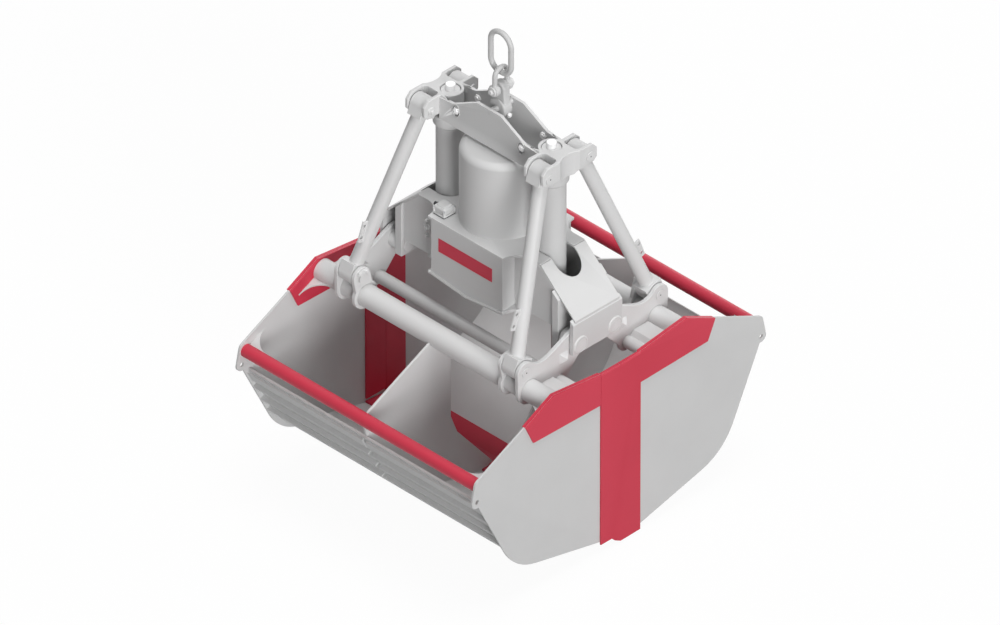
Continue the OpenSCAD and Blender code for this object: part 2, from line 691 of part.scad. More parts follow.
fitting_out = 100;
fitting_z_shares = [0.614, 0.5, 0.41];
module oil_fittings() color(steel) hung() for (s = fitting_z_shares)
    translate([-tank_x / 2 - fitting_out, -wing_y / 2, wing_low + wing_h * s]) rotate([90, 0, 0]) {
        hexagon(fitting_r * 2, fitting_r);
        cylinder(r = fitting_core_r, h = fitting_l);
    }

// Shells, drawn on the rear side; the front one is their mirror image
function side_dz(side) = side * -lip_step / 2;
function side_foot(side) = side > 0 ? lip_low : lip_high;
module shell(side) hung() mirror([0, side < 0 ? 1 : 0, 0]) children();
// A corner gusset in the plane of the shell's mouth, between a tube and the face at x
module tube_gusset(p, r, x, turn) both_x() translate([0, p[0], p[1]]) rotate([turn, 0, 0])
    translate([0, 0, -gusset_t / 2]) linear_extrude(gusset_t) difference() {
        translate([x - gusset, r + weld_gap]) square(gusset);
        translate([x - gusset, r + weld_gap + gusset]) circle(r = gusset);
    }
module end_plates(side) color(grey) shell(side) {
    both_x() difference() {
        along_x(inner_w, half_w) {
            polygon(plate_outline(side_dz(side), side_foot(side)));
            translate(at(lug_share)) circle(r = lug_r);
        }
        rod_x(0, half_w * 2, at(lug_share), lug_hole_r);
    }
    band_face = inner_w - weld_gap - band_t;
    tube_gusset(big_tube, big_tube_d / 2, band_face, -mouth_lean);
    tube_gusset(top_bar, bar_d / 2, inner_w - weld_gap, 180 - mouth_lean);
}
module bucket_wall(side) color(grey) shell(side) along_x(-inner_w, inner_w) {
    path = wall_path(side_dz(side));
    polygon(concat(path, reversed(shift_path(path, wall_t))));
}
lip_under = 50;
lip_nose_share = 0.72;
lip_tip = 6;
lip_middle = (lip_low + lip_high) / 2;
module cutting_lip(side) color(red) shell(side) along_x(-inner_w, inner_w) {
    dz = side_dz(side);
    foot = side_foot(side);
    end_z = dz + lip_slope * lip_w;
    // The rear lip has a nose that reaches under the front one
    polygon(side > 0
        ? [[-lip_under, lip_high - part_gap], [-lip_under, lip_high - lip_tip],
            [-lip_under * lip_nose_share, lip_middle], [0, foot], [foot_y(dz, foot), foot],
            [lip_w, end_z], [lip_w, end_z + lip_t], [part_gap, lip_high - part_gap]]
        : [[part_gap, foot], [lip_w, end_z], [lip_w, end_z + lip_t], [part_gap, foot + lip_t]]);
}
module edge_bands(side) shell(side) both_x() difference() {
    for (x = [half_w + weld_gap, inner_w - weld_gap - band_t]) {
        // Where there is a strip in the same plane, the band runs into it
        end_y = strip_w + (side < 0 && x > half_w ? part_gap * 2 : -part_gap);
        along_x(x, x + band_t)
            polygon(concat(ats(band_shares), [for (s = band_end_shares) [end_y, s * shell_h]]));
    }
    rod_x(0, inner_w, big_tube, big_tube_d / 2 + weld_gap);
    rod_x(0, inner_w, small_tube, small_tube_d / 2 + weld_gap);
}
module edge_strips(side) shell(side) both_x() {
    dz = side_dz(side);
    strip_low = dz + lip_w * lip_slope + lip_t + wall_t;
    along_x(inner_w - band_t - weld_gap, inner_w - weld_gap)
        polygon([[part_gap, strip_low], [strip_w, strip_low], [strip_w, strip_top], [part_gap, strip_top]]);
    if (side > 0) along_x(half_w + weld_gap, half_w + weld_gap + band_t)
        polygon([[-strip_w, lip_high], [-lip_under - lip_tip, lip_high],
            [-lip_under * lip_nose_share, lip_middle], [0, lip_low - part_gap], [strip_w, lip_low + part_gap],
            [strip_w, strip_top], [-strip_w, strip_top]]);
}
module red_plates(side) color(red) {
    edge_bands(side);
    edge_strips(side);
}
module top_bar(side) color(red) shell(side) difference() {
    rod_x(-inner_w, inner_w, top_bar, bar_d / 2);
    rod_x(-inner_w - over, inner_w + over, top_bar, bar_d / 2 - tube_wall);
}
tie_plate_share = 0.7;
module cross_tubes(side) color(light) shell(side) difference() {
    union() {
        rod_x(-inner_w, inner_w, big_tube, big_tube_d / 2);
        rod_x(-inner_w, inner_w, small_tube, small_tube_d / 2);
        // Tie plates between the tubes, from the arms out to the end plates' bands
        bend_at = [small_tube[0] + small_tube_d * tie_plate_share, big_tube[1]];
        both_x() along_x(arm_x + arm_t + weld_gap, inner_w - band_t - weld_gap * 2)
            polygon([big_tube, bend_at, small_tube, small_tube + [rib_t, 0],
                bend_at + [rib_t / 2, -rib_t], big_tube - [0, rib_t]]);
    }
    rod_x(-inner_w - over, inner_w + over, big_tube, big_tube_d / 2 - tube_wall);
    rod_x(-inner_w - over, inner_w + over, small_tube, small_tube_d / 2 - tube_wall);
}
module wall_ribs(side) color(grey) shell(side) {
    top = at(wall_top_share, side_dz(side));
    low = at(wall_steep_share, side_dz(side));
    lean = atan2(top[1] - low[1], top[0] - low[0]);
    both_x() {
        for (s = rib_shares) let (p = top + (low - top) * s)
            translate([rib_split, p[0], p[1]]) rotate([lean, 0, 0])
                translate([0, -rib_t / 2, -wall_rib_h - run_fit]) cube([inner_w - rib_split, rib_t, wall_rib_h]);
        let (p = top + (low - top) * flat_bar_share)
            translate([rib_split, p[0], p[1]]) rotate([lean, 0, 0])
                translate([0, -flat_bar_w, -rib_t - run_fit]) cube([inner_w - rib_split, flat_bar_w, rib_t]);
    }
}
module centre_rib(side) color(grey) shell(side) difference() {
    dz = side_dz(side);
    inner = shift_path(wall_path(dz), wall_t);
    along_x(-rib_t / 2, rib_t / 2) polygon(concat(reversed(inner), [top_bar],
        [at(rib_edge_shares[0]), big_tube], [for (i = [1:4]) at(rib_edge_shares[i], dz)]));
    rod_x(-rib_t, rib_t, top_bar, bar_d / 2 + weld_gap);
    rod_x(-rib_t, rib_t, big_tube, big_tube_d / 2 + weld_gap);
    // The rib stops short of the lip's top
    clear_y = lip_w + weld_gap;
    clear_z = dz + lip_slope * lip_w + lip_t + weld_gap;
    along_x(-rib_t, rib_t) polygon([[0, 0], [clear_y, 0], [clear_y, clear_z], [0, clear_z]]);
}
ear_r = 52;
tube_ring = 18;
// Outline of an arm: hub points as shares of the hub's radius, ear points as shares of the ear's
hub_top_share = [0.43, 0.9];
hub_low_share = [-0.3, -0.95];
ear_hollow_share = [-1.6, -0.2];
ear_top_share = [-0.6, 0.8];
hollow_start_share = 0.35;
module arm_plan() {
    hub_top = pivot + hub_top_share * hub_r;
    hollow = low_pin + ear_hollow_share * ear_r;
    translate(pivot) circle(r = hub_r);
    translate(low_pin) circle(r = ear_r);
    translate(big_tube) circle(r = big_tube_d / 2 + tube_ring);
    translate(small_tube) circle(r = small_tube_d / 2 + tube_ring);
    polygon(concat([pivot + hub_low_share * hub_r, small_tube + [-small_tube_d / 2 - tube_ring, 0],
        small_tube + [0, -small_tube_d / 2 - tube_ring], big_tube + [0, -big_tube_d / 2 - tube_ring],
        big_tube + [big_tube_d / 2 + tube_ring, 0], low_pin + [ear_r, 0]],
        bend(low_pin + ear_top_share * ear_r, hollow, hollow + (hub_top - hollow) * hollow_start_share,
            bend_steps),
        [hub_top, pivot]));
}
module ear_plan() {
    d = (low_pin - big_tube) / norm(low_pin - big_tube);
    n = [-d[1], d[0]];
    translate(low_pin) circle(r = ear_r);
    translate(big_tube) circle(r = big_tube_d / 2 + tube_ring);
    polygon([big_tube + n * ear_r, big_tube - n * ear_r, low_pin - n * ear_r, low_pin + n * ear_r]);
}
stop_t = 27;
stop_w = 56;
stop_top_share = 0.15;
stop_drop = 46;
module arms(side) color(grey) shell(side) both_x() difference() {
    union() {
        along_x(arm_x, arm_x + arm_t) arm_plan();
        along_x(ear_in_x, ear_in_x + ear_t) ear_plan();
        // Stop lug, a blunt pyramid
        translate([arm_x + arm_t - part_gap, cheek_half + part_gap * 3 + stop_w / 2, pivot_z - stop_drop])
            rotate([0, 90, 0]) rotate([0, 0, 45])
                cylinder(d1 = stop_w * sqrt(2), d2 = stop_w * stop_top_share, h = stop_t, $fn = 4);
    }
    rod_x(0, half_w, pivot, bush_r + run_fit);
    rod_x(0, half_w, low_pin, low_pin_d / 2 + run_fit);
    rod_x(0, half_w, big_tube, big_tube_d / 2 + weld_gap);
    rod_x(0, half_w, small_tube, small_tube_d / 2 + weld_gap);
}
bush_gap = 3;
module hub_bushes(side) color(steel) shell(side) both_x() difference() {
    rod_x(cheek_in_x + cheek_in_t + bush_gap, cheek_out_x - bush_gap, pivot, bush_r);
    rod_x(0, half_w, pivot, pivot_pin_d / 2 + run_fit);
}
keeper = [8, 60, 24];
module low_rod_pins(side) color(steel) shell(side) both_x() {
    rod_x(ear_in_x - keeper[0] - part_gap, arm_x + arm_t + part_gap * 4, low_pin, low_pin_d / 2);
    difference() {
        translate([ear_in_x - keeper[0], low_pin[0] - keeper[1] / 2,
            low_pin[1] + low_pin_d / 2 - keeper[2] / 3]) cube(keeper);
        rod_x(0, half_w, low_pin, low_pin_d / 2 + run_fit);
    }
}

// Rods, drawn at the rear right
tab = [10, 34, 104];
tab_hole_r = 8;
tab_pitch = 58;
tab_middle = 222;
tab_root = 29;
tab_hole_out = 21;
eye_block = 55;
eye_block_half = rod_eye_r - part_gap;
// A round eye that is square towards the tube
module rod_eye(p, lean, low) along_x(p[0] - rod_eye_w / 2, p[0] + rod_eye_w / 2) translate([p[1], p[2]]) {
    circle(r = rod_eye_r);
    rotate(lean) translate([-eye_block_half, low]) square([eye_block_half * 2, eye_block]);
}
module rod(sx, sy) color(light) hung() scale_sign(sx, sy) difference() {
    a = [low_eye_x, low_y, low_z];
    b = [top_eye_x, eye_y, top_z];
    d = (b - a) / norm(b - a);
    lean = atan2(-d[1], d[2]);
    union() {
        stick(a, b, rod_d / 2);
        rod_eye(a, lean, 0);
        rod_eye(b, lean, -eye_block);
        translate(a + d * tab_middle) rotate([lean, 0, 0]) translate([-tab[0] / 2, tab_root, -tab[2] / 2])
            cube(tab);
    }
    rod_x(0, half_w, [a[1], a[2]], low_pin_d / 2 + run_fit);
    rod_x(0, half_w, [b[1], b[2]], upper_pin_d / 2 + upper_play);
    for (k = [-1, 1]) translate(a + d * tab_middle) rotate([lean, 0, 0])
        translate([0, tab_root + tab_hole_out, k * tab_pitch / 2]) rotate([0, 90, 0])
            cylinder(r = tab_hole_r, h = tab[0] * 3, center = true);
}
module scale_sign(sx, sy) mirror([sx < 0 ? 1 : 0, 0, 0]) mirror([0, sy < 0 ? 1 : 0, 0]) children();

master_link();
shackle_bow();
shackle_pin();
suspension_link();
lock_bolt();
head_plates();
crossbar();
head_brackets();
head_bolts();
upper_rod_pins();
guard_tubes();
piston_rods();
tank_body();
deck_plate();
wing_boxes();
wing_covers();
cheek_plates();
pivot_pins();
motor_housing();
motor_stator();
motor_rotor();
shaft_coupling();
pump_housing();
pump_rotor();
valve_block();
suction_filter();
cylinder_barrels();
cylinder_glands();
junction_box();
junction_screws();
cable_gland();
nameplate();
oil_fittings();
end_plates(-1);  // end_plates_front
end_plates(1);  // end_plates_rear
bucket_wall(-1);  // bucket_wall_front
bucket_wall(1);  // bucket_wall_rear
cutting_lip(-1);  // cutting_lip_front
cutting_lip(1);  // cutting_lip_rear
red_plates(-1);  // edge_bands_front
red_plates(1);  // edge_bands_rear
top_bar(-1);  // top_bar_front
top_bar(1);  // top_bar_rear
cross_tubes(-1);  // cross_tubes_front
cross_tubes(1);  // cross_tubes_rear
wall_ribs(-1);  // wall_ribs_front
wall_ribs(1);  // wall_ribs_rear
centre_rib(-1);  // centre_rib_front
centre_rib(1);  // centre_rib_rear
arms(-1);  // arms_front
arms(1);  // arms_rear
hub_bushes(-1);  // hub_bushes_front
hub_bushes(1);  // hub_bushes_rear
low_rod_pins(-1);  // low_rod_pins_front
low_rod_pins(1);  // low_rod_pins_rear
rod(-1, -1);  // rod_front_left
rod(1, -1);  // rod_front_right
rod(-1, 1);  // rod_rear_left
rod(1, 1);  // rod_rear_right
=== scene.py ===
"""Electro-hydraulic grab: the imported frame, dressed for its picture.

Lengths are in millimetres and heights are counted from the lips' parting line, as in the part's
source, until points() turns them into the frame's metres, hung from the master link's crown.
"""

from __future__ import annotations

import json
import logging
import math
from collections.abc import Sequence
from dataclasses import dataclass
from enum import Enum
from typing import Any, ClassVar

import bmesh
import bpy
import numpy as np
from bpy.types import Material, Mesh, Node, NodeSocket, NodeTree, Object
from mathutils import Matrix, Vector, geometry

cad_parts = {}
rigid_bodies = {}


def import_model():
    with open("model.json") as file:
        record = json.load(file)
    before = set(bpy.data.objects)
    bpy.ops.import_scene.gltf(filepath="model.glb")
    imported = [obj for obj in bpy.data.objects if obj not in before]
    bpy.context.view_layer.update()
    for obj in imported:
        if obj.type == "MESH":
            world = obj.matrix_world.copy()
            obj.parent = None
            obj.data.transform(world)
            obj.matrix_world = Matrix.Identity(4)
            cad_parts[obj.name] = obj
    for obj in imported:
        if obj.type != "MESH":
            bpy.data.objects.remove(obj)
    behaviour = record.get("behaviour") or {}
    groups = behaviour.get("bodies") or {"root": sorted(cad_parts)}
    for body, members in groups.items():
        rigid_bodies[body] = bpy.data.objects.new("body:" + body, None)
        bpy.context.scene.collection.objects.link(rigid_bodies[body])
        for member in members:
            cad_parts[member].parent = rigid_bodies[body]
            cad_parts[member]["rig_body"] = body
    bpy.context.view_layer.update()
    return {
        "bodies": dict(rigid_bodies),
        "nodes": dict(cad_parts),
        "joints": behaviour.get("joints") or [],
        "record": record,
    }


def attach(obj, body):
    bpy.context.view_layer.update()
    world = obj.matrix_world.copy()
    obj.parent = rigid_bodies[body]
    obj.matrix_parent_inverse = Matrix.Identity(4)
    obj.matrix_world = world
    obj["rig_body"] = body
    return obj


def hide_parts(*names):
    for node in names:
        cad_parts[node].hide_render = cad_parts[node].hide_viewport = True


log = logging.getLogger("grab")

# Height of the master link's crown, the frame's zero, above the parting line
HANG = 2392.3
MM = 0.001
# Which way each shell lies from the middle
SIDES = {"front": -1, "rear": 1}
# Points closer than this are one point, in a new shape and in a copy of a node
SEAM = 0.004 * MM
MERGE = 0.02 * MM
# Edges that turn by more than SHARP show; faces that turn by less than FLAT are joined
SHARP = math.radians(30.0)
FLAT = math.radians(0.6)
# Corners of a square of half width one
SQUARE = np.array([(-1, -1), (1, -1), (1, 1), (-1, 1)])

Pair = tuple[float, float]
Triple = tuple[float, float, float]
# Rows of two sizes, such as radius and height
Profile = Sequence[Pair]
# Values on a node, by property name or by socket name or number
Settings = dict[str | int, Any]


def points(places: Any) -> np.ndarray:
    """Places in millimetres above the parting line, as metres below the master link's crown."""
    return (np.asarray(places, dtype=float) - (0.0, 0.0, HANG)) * MM


# Materials


def linear(colour: str) -> tuple[float, ...]:
    """A hash and six hex digits of sRGB colour as linear light, with a full alpha."""
    parts = [int(colour[i : i + 2], 16) / 255 for i in (1, 3, 5)]
    return (*[p / 12.92 if p <= 0.04045 else ((p + 0.055) / 1.055) ** 2.4 for p in parts], 1.0)


def add_node(
    tree: NodeTree,
    kind: str,
    settings: Settings | None = None,
    links: dict[str | int, NodeSocket] | None = None,
) -> Node:
    """Adds a node with its settings and links.

    Args:
        tree: The material's or world's node tree.
        kind: The node's Blender type, after ShaderNode.
        settings: Values for its properties and sockets.
        links: Output sockets by the name or number of the input that they feed.

    Returns:
        The new node.
    """
    node = tree.nodes.new(f"ShaderNode{kind}")
    for key, value in (settings or {}).items():
        if isinstance(key, str) and hasattr(node, key):
            setattr(node, key, value)
        else:
            node.inputs[key].default_value = value
    for key, source in (links or {}).items():
        tree.links.new(source, node.inputs[key])
    return node


class Finish:
    """A surface finish that makes its material once and hands it out again."""

    made: ClassVar[dict[str, Material]] = {}
    name: str

    def material(self) -> Material:
        """The finish's material, built the first time that it is asked for."""
        if self.name not in Finish.made:
            material = bpy.data.materials.new(self.name)
            material.use_nodes = True
            material.node_tree.nodes.clear()
            self.wire(material.node_tree)
            Finish.made[self.name] = material
        return Finish.made[self.name]

    def wire(self, tree: NodeTree) -> None:
        """Adds the finish's nodes."""
        raise NotImplementedError

    def coat(
        self,
        tree: NodeTree,
        tone: Node,
        grain: Node,
        rough: Pair,
        relief: float,
        settings: Settings,
    ) -> None:
        """Adds roughness and a bump 1 mm high that follow a grain, the shader and the output.

        Args:
            tree: The material's node tree.
            tone: Mix node with the surface's colour.
            grain: Noise node.
            rough: Roughness at the grain's lowest and highest value.
            relief: Strength of the bump.
            settings: Constants on the shader's own sockets.
        """
        value = grain.outputs["Fac"]
        ends = {"To Min": rough[0], "To Max": rough[1]}
        span = add_node(tree, "MapRange", ends, {"Value": value})
        height = {"Strength": relief, "Distance": 1 * MM}
        bump = add_node(tree, "Bump", height, {"Height": value})
        sources = {
            "Base Color": tone.outputs[2],
            "Roughness": span.outputs["Result"],
            "Normal": bump.outputs["Normal"],
        }
        shader = add_node(tree, "BsdfPrincipled", settings, sources)
        add_node(tree, "OutputMaterial", links={"Surface": shader.outputs[0]})


@dataclass(frozen=True)
class SprayedPaint(Finish):
    """Two-pack paint sprayed on blasted steel: a matt skin with a faint orange peel.

    The tone drifts a little over a hand's breadth where the coats overlap, and the film is thin
    and a shade lighter along edges, where pointiness rises within edge_span. Orange peel is about
    2 mm wide; it is drawn at peel_mm so that it still shows, and roughness spreads with it.
    """

    name: str
    colour: str
    shade: str
    edge: str
    drift_mm: float = 260.0
    peel_mm: float = 7.0
    roughness: float = 0.52
    peel: float = 0.06
    spread: Pair = (0.05, 0.07)
    edge_span: Pair = (0.53, 0.62)
    edge_share: float = 0.5
    ior: float = 1.5
    gloss: float = 0.35

    def wire(self, tree: NodeTree) -> None:
        """Adds tone drift, edge tint, roughness grain and orange peel to a paint shader."""
        place = add_node(tree, "TexCoord").outputs["Object"]
        patches = {"Scale": 1 / (self.drift_mm * MM), "Detail": 3.0, "Roughness": 0.55}
        drift = add_node(tree, "TexNoise", patches, {"Vector": place})
        coats = {"data_type": "RGBA", 6: linear(self.colour), 7: linear(self.shade)}
        tone = add_node(tree, "Mix", coats, {0: drift.outputs["Fac"]})
        point = add_node(tree, "NewGeometry").outputs["Pointiness"]
        low, high = self.edge_span
        span = {"From Min": low, "From Max": high, "To Max": self.edge_share}
        edge = add_node(tree, "MapRange", span, {"Value": point})
        film = {"data_type": "RGBA", 7: linear(self.edge)}
        skin = add_node(tree, "Mix", film, {0: edge.outputs["Result"], 6: tone.outputs[2]})
        peel = {"Scale": 1 / (self.peel_mm * MM), "Detail": 2.0}
        grain = add_node(tree, "TexNoise", peel, {"Vector": place})
        rough = (self.roughness - self.spread[0], self.roughness + self.spread[1])
        settings = {"IOR": self.ior, "Specular IOR Level": self.gloss}
        self.coat(tree, skin, grain, rough, self.peel, settings)


@dataclass(frozen=True)
class WorkedMetal(Finish):
    """Bare metal with the marks of how it was worked: turned, ground, cast, rolled or plated.

    mark_mm is the spacing of the tool marks or the cast grain, drawn as coarse as it needs to
    show, and stretch draws them out across one axis into lines. Roughness spreads both ways from
    its mean and stays above polish.
    """

    name: str
    colour: str
    shade: str
    mark_mm: float
    roughness: float
    spread: float = 0.1
    relief: float = 0.08
    metallic: float = 1.0
    stretch: Triple = (1.0, 1.0, 1.0)
    polish: float = 0.02

    def wire(self, tree: NodeTree) -> None:
        """Adds stretched noise to colour, roughness and bump of a metal shader."""
        place = add_node(tree, "TexCoord").outputs["Object"]
        drawn = add_node(tree, "Mapping", {"Scale": self.stretch}, {"Vector": place})
        lines = {"Scale": 1 / (self.mark_mm * MM), "Detail": 4.0, "Roughness": 0.6}
        marks = add_node(tree, "TexNoise", lines, {"Vector": drawn.outputs["Vector"]})
        tones = {"data_type": "RGBA", 6: linear(self.colour), 7: linear(self.shade)}
        tone = add_node(tree, "Mix", tones, {0: marks.outputs["Fac"]})
        smooth = max(self.roughness - self.spread, self.polish)
        rough = (smooth, self.roughness + self.spread)
        self.coat(tree, tone, marks, rough, self.relief, {"Metallic": self.metallic})


class Finishes(Enum):
    """Every finish on the grab."""

    # Grey two-pack paint on plates, boxes and drawn shells: broad, even and matt
    GREY = SprayedPaint("sprayed_grey_paint", "#CACACA", "#C2C2C2", "#DADADA")
    # The same paint on rods, cross tubes and pins, where it looks a touch lighter
    LIGHT = SprayedPaint("sprayed_light_grey_paint", "#D0D0D0", "#C9C9C9", "#DFDFDF")
    # Red signal paint on edges, bars and lips
    RED = SprayedPaint("sprayed_red_paint", "#C53046", "#BA2B40", "#D4485C", roughness=0.46)
    # Drop forged and shot blasted, then sprayed grey: the blast pits show through
    FORGED = SprayedPaint(
        "painted_forged_steel", "#C6C6C6", "#B8B8B8", "#DCDCDC", 60.0, 5.0, 0.5, 0.16
    )
    # Sand cast and sprayed: a coarse skin
    CAST = SprayedPaint(
        "painted_cast_steel", "#D2D2D2", "#C8C8C8", "#E2E2E2", 120.0, 6.0, 0.5, 0.14
    )
    # Rotors from the lathe: a soft shine with fine rings
    TURNED = WorkedMetal("turned_steel", "#C9C9CB", "#B4B5B8", 6.0, 0.42, metallic=0.55)
    # Piston rods, ground and hard chromed: a clear mirror
    CHROME = WorkedMetal("hard_chromed_rod", "#DCDEE0", "#CFD2D5", 9.0, 0.14, 0.05, 0.02)
    # Screws and the suction filter, zinc plated: pale and slightly cloudy
    ZINC = WorkedMetal("zinc_plated_steel", "#CDCFD1", "#B3B6BA", 14.0, 0.36)
    # Pump, coupling, glands and the junction box's seat, whose dark is painted shadow: dark iron
    # with a sand skin
    IRON = WorkedMetal("cast_iron", "#4A4C4F", "#3A3C3F", 4.0, 0.62, 0.1, 0.3, metallic=0.7)
    # Rolled and welded tube inside the frame: drawn along its height
    DRAWN = WorkedMetal(
        "cold_drawn_steel_tube", "#A9ACAF", "#94979B", 5.0, 0.38, stretch=(1, 1, 0.05)
    )
    # Stator core: varnished sheets stacked 0.5 mm apart, drawn 4 mm apart so that they show
    LAMINATED = WorkedMetal(
        "varnished_stator_laminations",
        "#5B4A3F",
        "#3E332D",
        4.0,
        0.45,
        relief=0.3,
        metallic=0.4,
        stretch=(0.04, 0.04, 1),
    )
    # Rod ends and bolts, faced flat on the lathe and coloured almost white: painted reflection of
    # the pale sky on their faces
    FACED_PAINTED_REFLECTION = WorkedMetal("faced_steel_painted_reflection", "#FFFFFF", "#F2F2F2", 3.0, 0.3, metallic=0.25)
    # Cable gland: moulded nylon with a fine spark texture
    NYLON = WorkedMetal(
        "moulded_black_nylon", "#26272A", "#1E1F21", 3.0, 0.55, 0.06, 0.12, metallic=0.0
    )


# Surfaces


@dataclass
class Shape:
    """A mesh in the making.

    Attributes:
        places: Points in millimetres above the parting line.
        faces: Faces, as the numbers of their points.
    """

    places: np.ndarray
    faces: list[list[int]]

    def __add__(self, other: Shape) -> Shape:
        """Both shapes as one, each still closed by itself."""
        first = len(self.places)
        return Shape(
            np.vstack([self.places, other.places]),
            self.faces + [[i + first for i in face] for face in other.faces],
        )

    def times(self, *signs: float) -> Shape:
        """The shape with its X, Y and Z multiplied by the signs."""
        return Shape(self.places * signs, self.faces)

    def moved(self, *by: float) -> Shape:
        """The shape moved by X, Y and Z."""
        return Shape(self.places + by, self.faces)

    def both_x(self) -> Shape:
        """The shape and its mirror image across the middle of the width."""
        return self + self.times(-1, 1, 1)

    def both_y(self) -> Shape:
        """The shape and its mirror image across the parting line."""
        return self + self.times(1, -1, 1)

    def mesh(self, name: str) -> Mesh:
        """Closes seams and poles, turns the faces outwards and hands over a mesh.

        Args:
            name: The mesh's name.

        Returns:
            The mesh, in the frame's metres.
        """
        mesh = bpy.data.meshes.new(name)
        mesh.from_pydata(points(self.places).tolist(), [], self.faces)
        work = bmesh.new()
        work.from_mesh(mesh)
        bmesh.ops.remove_doubles(work, verts=work.verts, dist=SEAM)
        bmesh.ops.recalc_face_normals(work, faces=work.faces)
        work.to_mesh(mesh)
        work.free()
        return mesh


def skin(grid: np.ndarray, loop: bool = False) -> Shape:
    """Skins a grid of rings: each point is joined to the next in its ring and in the next ring.

    Args:
        grid: Rings by points by three; every ring closes on itself.
        loop: Whether the last ring joins the first. If not, both get a flat cap.

    Returns:
        The closed shape.
    """
    rows, columns = grid.shape[:2]
    index = np.arange(rows * columns).reshape(rows, columns)
    low = index if loop else index[:-1]
    high = np.roll(index, -1, 0) if loop else index[1:]
    quads = np.stack([low, np.roll(low, -1, 1), np.roll(high, -1, 1), high], -1)
    faces = quads.reshape(-1, 4).tolist()
    if not loop:
        faces += [index[0, ::-1].tolist(), index[-1].tolist()]
    return Shape(grid.reshape(-1, 3), faces)


def unit(vectors: Any) -> np.ndarray:
    """Vectors brought to length one."""
    vectors = np.asarray(vectors, dtype=float)
    return vectors / np.linalg.norm(vectors, axis=-1, keepdims=True)


def lathe(profile: Any, centre: Any, axis: Any, steps: int = 64, loop: bool = False) -> Shape:
    """Turns a profile round an axis.

    A point is the centre, plus the profile's height along the axis, plus its radius along a ring
    that goes once round with the turning angle.

    Args:
        profile: Rows of radius and height; it may start and end on the axis.
        centre: Point on the axis at height zero.
        axis: Direction of the axis.
        steps: Points round the ring.
        loop: Whether the profile closes on itself, as a ring's or a shell's does.

    Returns:
        The turned shape.
    """
    profile, axis = np.asarray(profile, dtype=float), unit(axis)
    upright = 0.9
    side = unit(np.cross(axis, (0, 0, 1) if abs(axis[2]) < upright else (1, 0, 0)))
    turn = np.linspace(0, 2 * np.pi, steps, endpoint=False)[:, None]
    ring = np.cos(turn) * side + np.sin(turn) * np.cross(axis, side)
    heights, radii = profile[:, 1, None, None], profile[:, 0, None, None]
    return skin(np.asarray(centre, dtype=float) + heights * axis + radii * ring, loop)


def sweep(path: Any, section: np.ndarray, across: Any, loop: bool = False) -> Shape:
    """Carries a section along a flat path.

    A point is the path's point, plus the section's first part along the across direction, plus
    its second part square to both that and the path's tangent.

    Args:
        path: Points of the path.
        section: Points of the section.
        across: Direction square to the path's plane.
        loop: Whether the path closes on itself.

    Returns:
        The swept shape.
    """
    path, across = np.asarray(path, dtype=float), unit(across)
    ahead = np.roll(path, -1, 0) - np.roll(path, 1, 0) if loop else np.gradient(path, axis=0)
    out = unit(np.cross(across, ahead))[:, None]
    grid = path[:, None] + section[:, :1] * across + section[:, 1:] * out
    return skin(grid, loop)


def drawn(outline: Any, low: float, high: float, axis: int) -> Shape:
    """Draws a flat outline out along an axis, from low to high, with sharp rims."""
    return rimmed(outline, low, high, axis, 0.0, 1)


def rimmed(
    outline: Any, low: float, high: float, axis: int, edge: float, steps: int = 5
) -> Shape:
    """Draws a flat outline out along an axis and rounds both rims.

    At the angle a of a rim's quarter circle the outline stands edge * (1 - sin a) short of the
    end, moved inwards along its own normals by edge * (1 - cos a).

    Args:
        outline: Points in the two other axes, in their order.
        low: Where it starts.
        high: Where it ends.
        axis: 0, 1 or 2 for X, Y or Z.
        edge: Radius of the rims.
        steps: Rings on each rim.

    Returns:
        The closed shape.
    """
    flat = np.asarray(outline, dtype=float)
    following = np.roll(flat, -1, 0)
    area = (flat[:, 0] * following[:, 1] - flat[:, 1] * following[:, 0]).sum()
    along = unit(following - np.roll(flat, 1, 0)) * np.sign(area)
    inward = np.stack([-along[:, 1], along[:, 0]], 1)
    turn = np.linspace(0, np.pi / 2, steps)
    inset = np.concatenate([1 - np.cos(turn[::-1]), 1 - np.cos(turn)]) * edge
    short = (1 - np.sin(turn)) * edge
    level = np.concatenate([low + short[::-1], high - short])
    grid = np.empty((len(level), len(flat), 3))
    grid[:, :, [i for i in range(3) if i != axis]] = flat + inset[:, None, None] * inward
    grid[:, :, axis] = level[:, None]
    return skin(grid)


def circle(radius: float, steps: int = 24) -> np.ndarray:
    """A circle's points: radius times the cosine and sine of the turning angle."""
    turn = np.linspace(0, 2 * np.pi, steps, endpoint=False)
    return radius * np.stack([np.cos(turn), np.sin(turn)], 1)


def arc(centre: Any, radius: float, start: float, end: float, steps: int = 17) -> np.ndarray:
    """An arc's points from one angle to another in degrees, both ends included."""
    turn = np.radians(np.linspace(start, end, steps))
    return np.asarray(centre) + radius * np.stack([np.cos(turn), np.sin(turn)], 1)


def parabola(t: np.ndarray, start: Any, corner: Any, end: Any) -> np.ndarray:
    """Points of the curve (1 - t)^2 * start + 2 * t * (1 - t) * corner + t^2 * end."""
    return (1 - t) ** 2 * start + 2 * t * (1 - t) * corner + t**2 * end


def centre_hole_shade(radius: float, place: Triple) -> Shape:
    """A lathe's centre hole in a pin's end, drawn as a thin disc towards +X with a bevelled rim;
    shown dark, it is painted shade for the hollow of the hole.
    """
    return lathe([(0, 0), (radius, 0), (radius - 0.4, 0.5), (0, 0.5)], place, (1, 0, 0), 20)


def rounded(corner: np.ndarray, radius: float) -> np.ndarray:
    """Rounds an outline's corners.

    Each corner is replaced by a parabola that leaves its sides at the radius's distance.

    Args:
        corner: Corners of the outline.
        radius: Distance from each corner.

    Returns:
        The rounded outline.
    """
    start = (corner + unit(np.roll(corner, 1, 0) - corner) * radius)[:, None]
    end = (corner + unit(np.roll(corner, -1, 0) - corner) * radius)[:, None]
    t = np.linspace(0, 1, 6)[:, None]
    return parabola(t, start, corner[:, None], end).reshape(-1, 2)


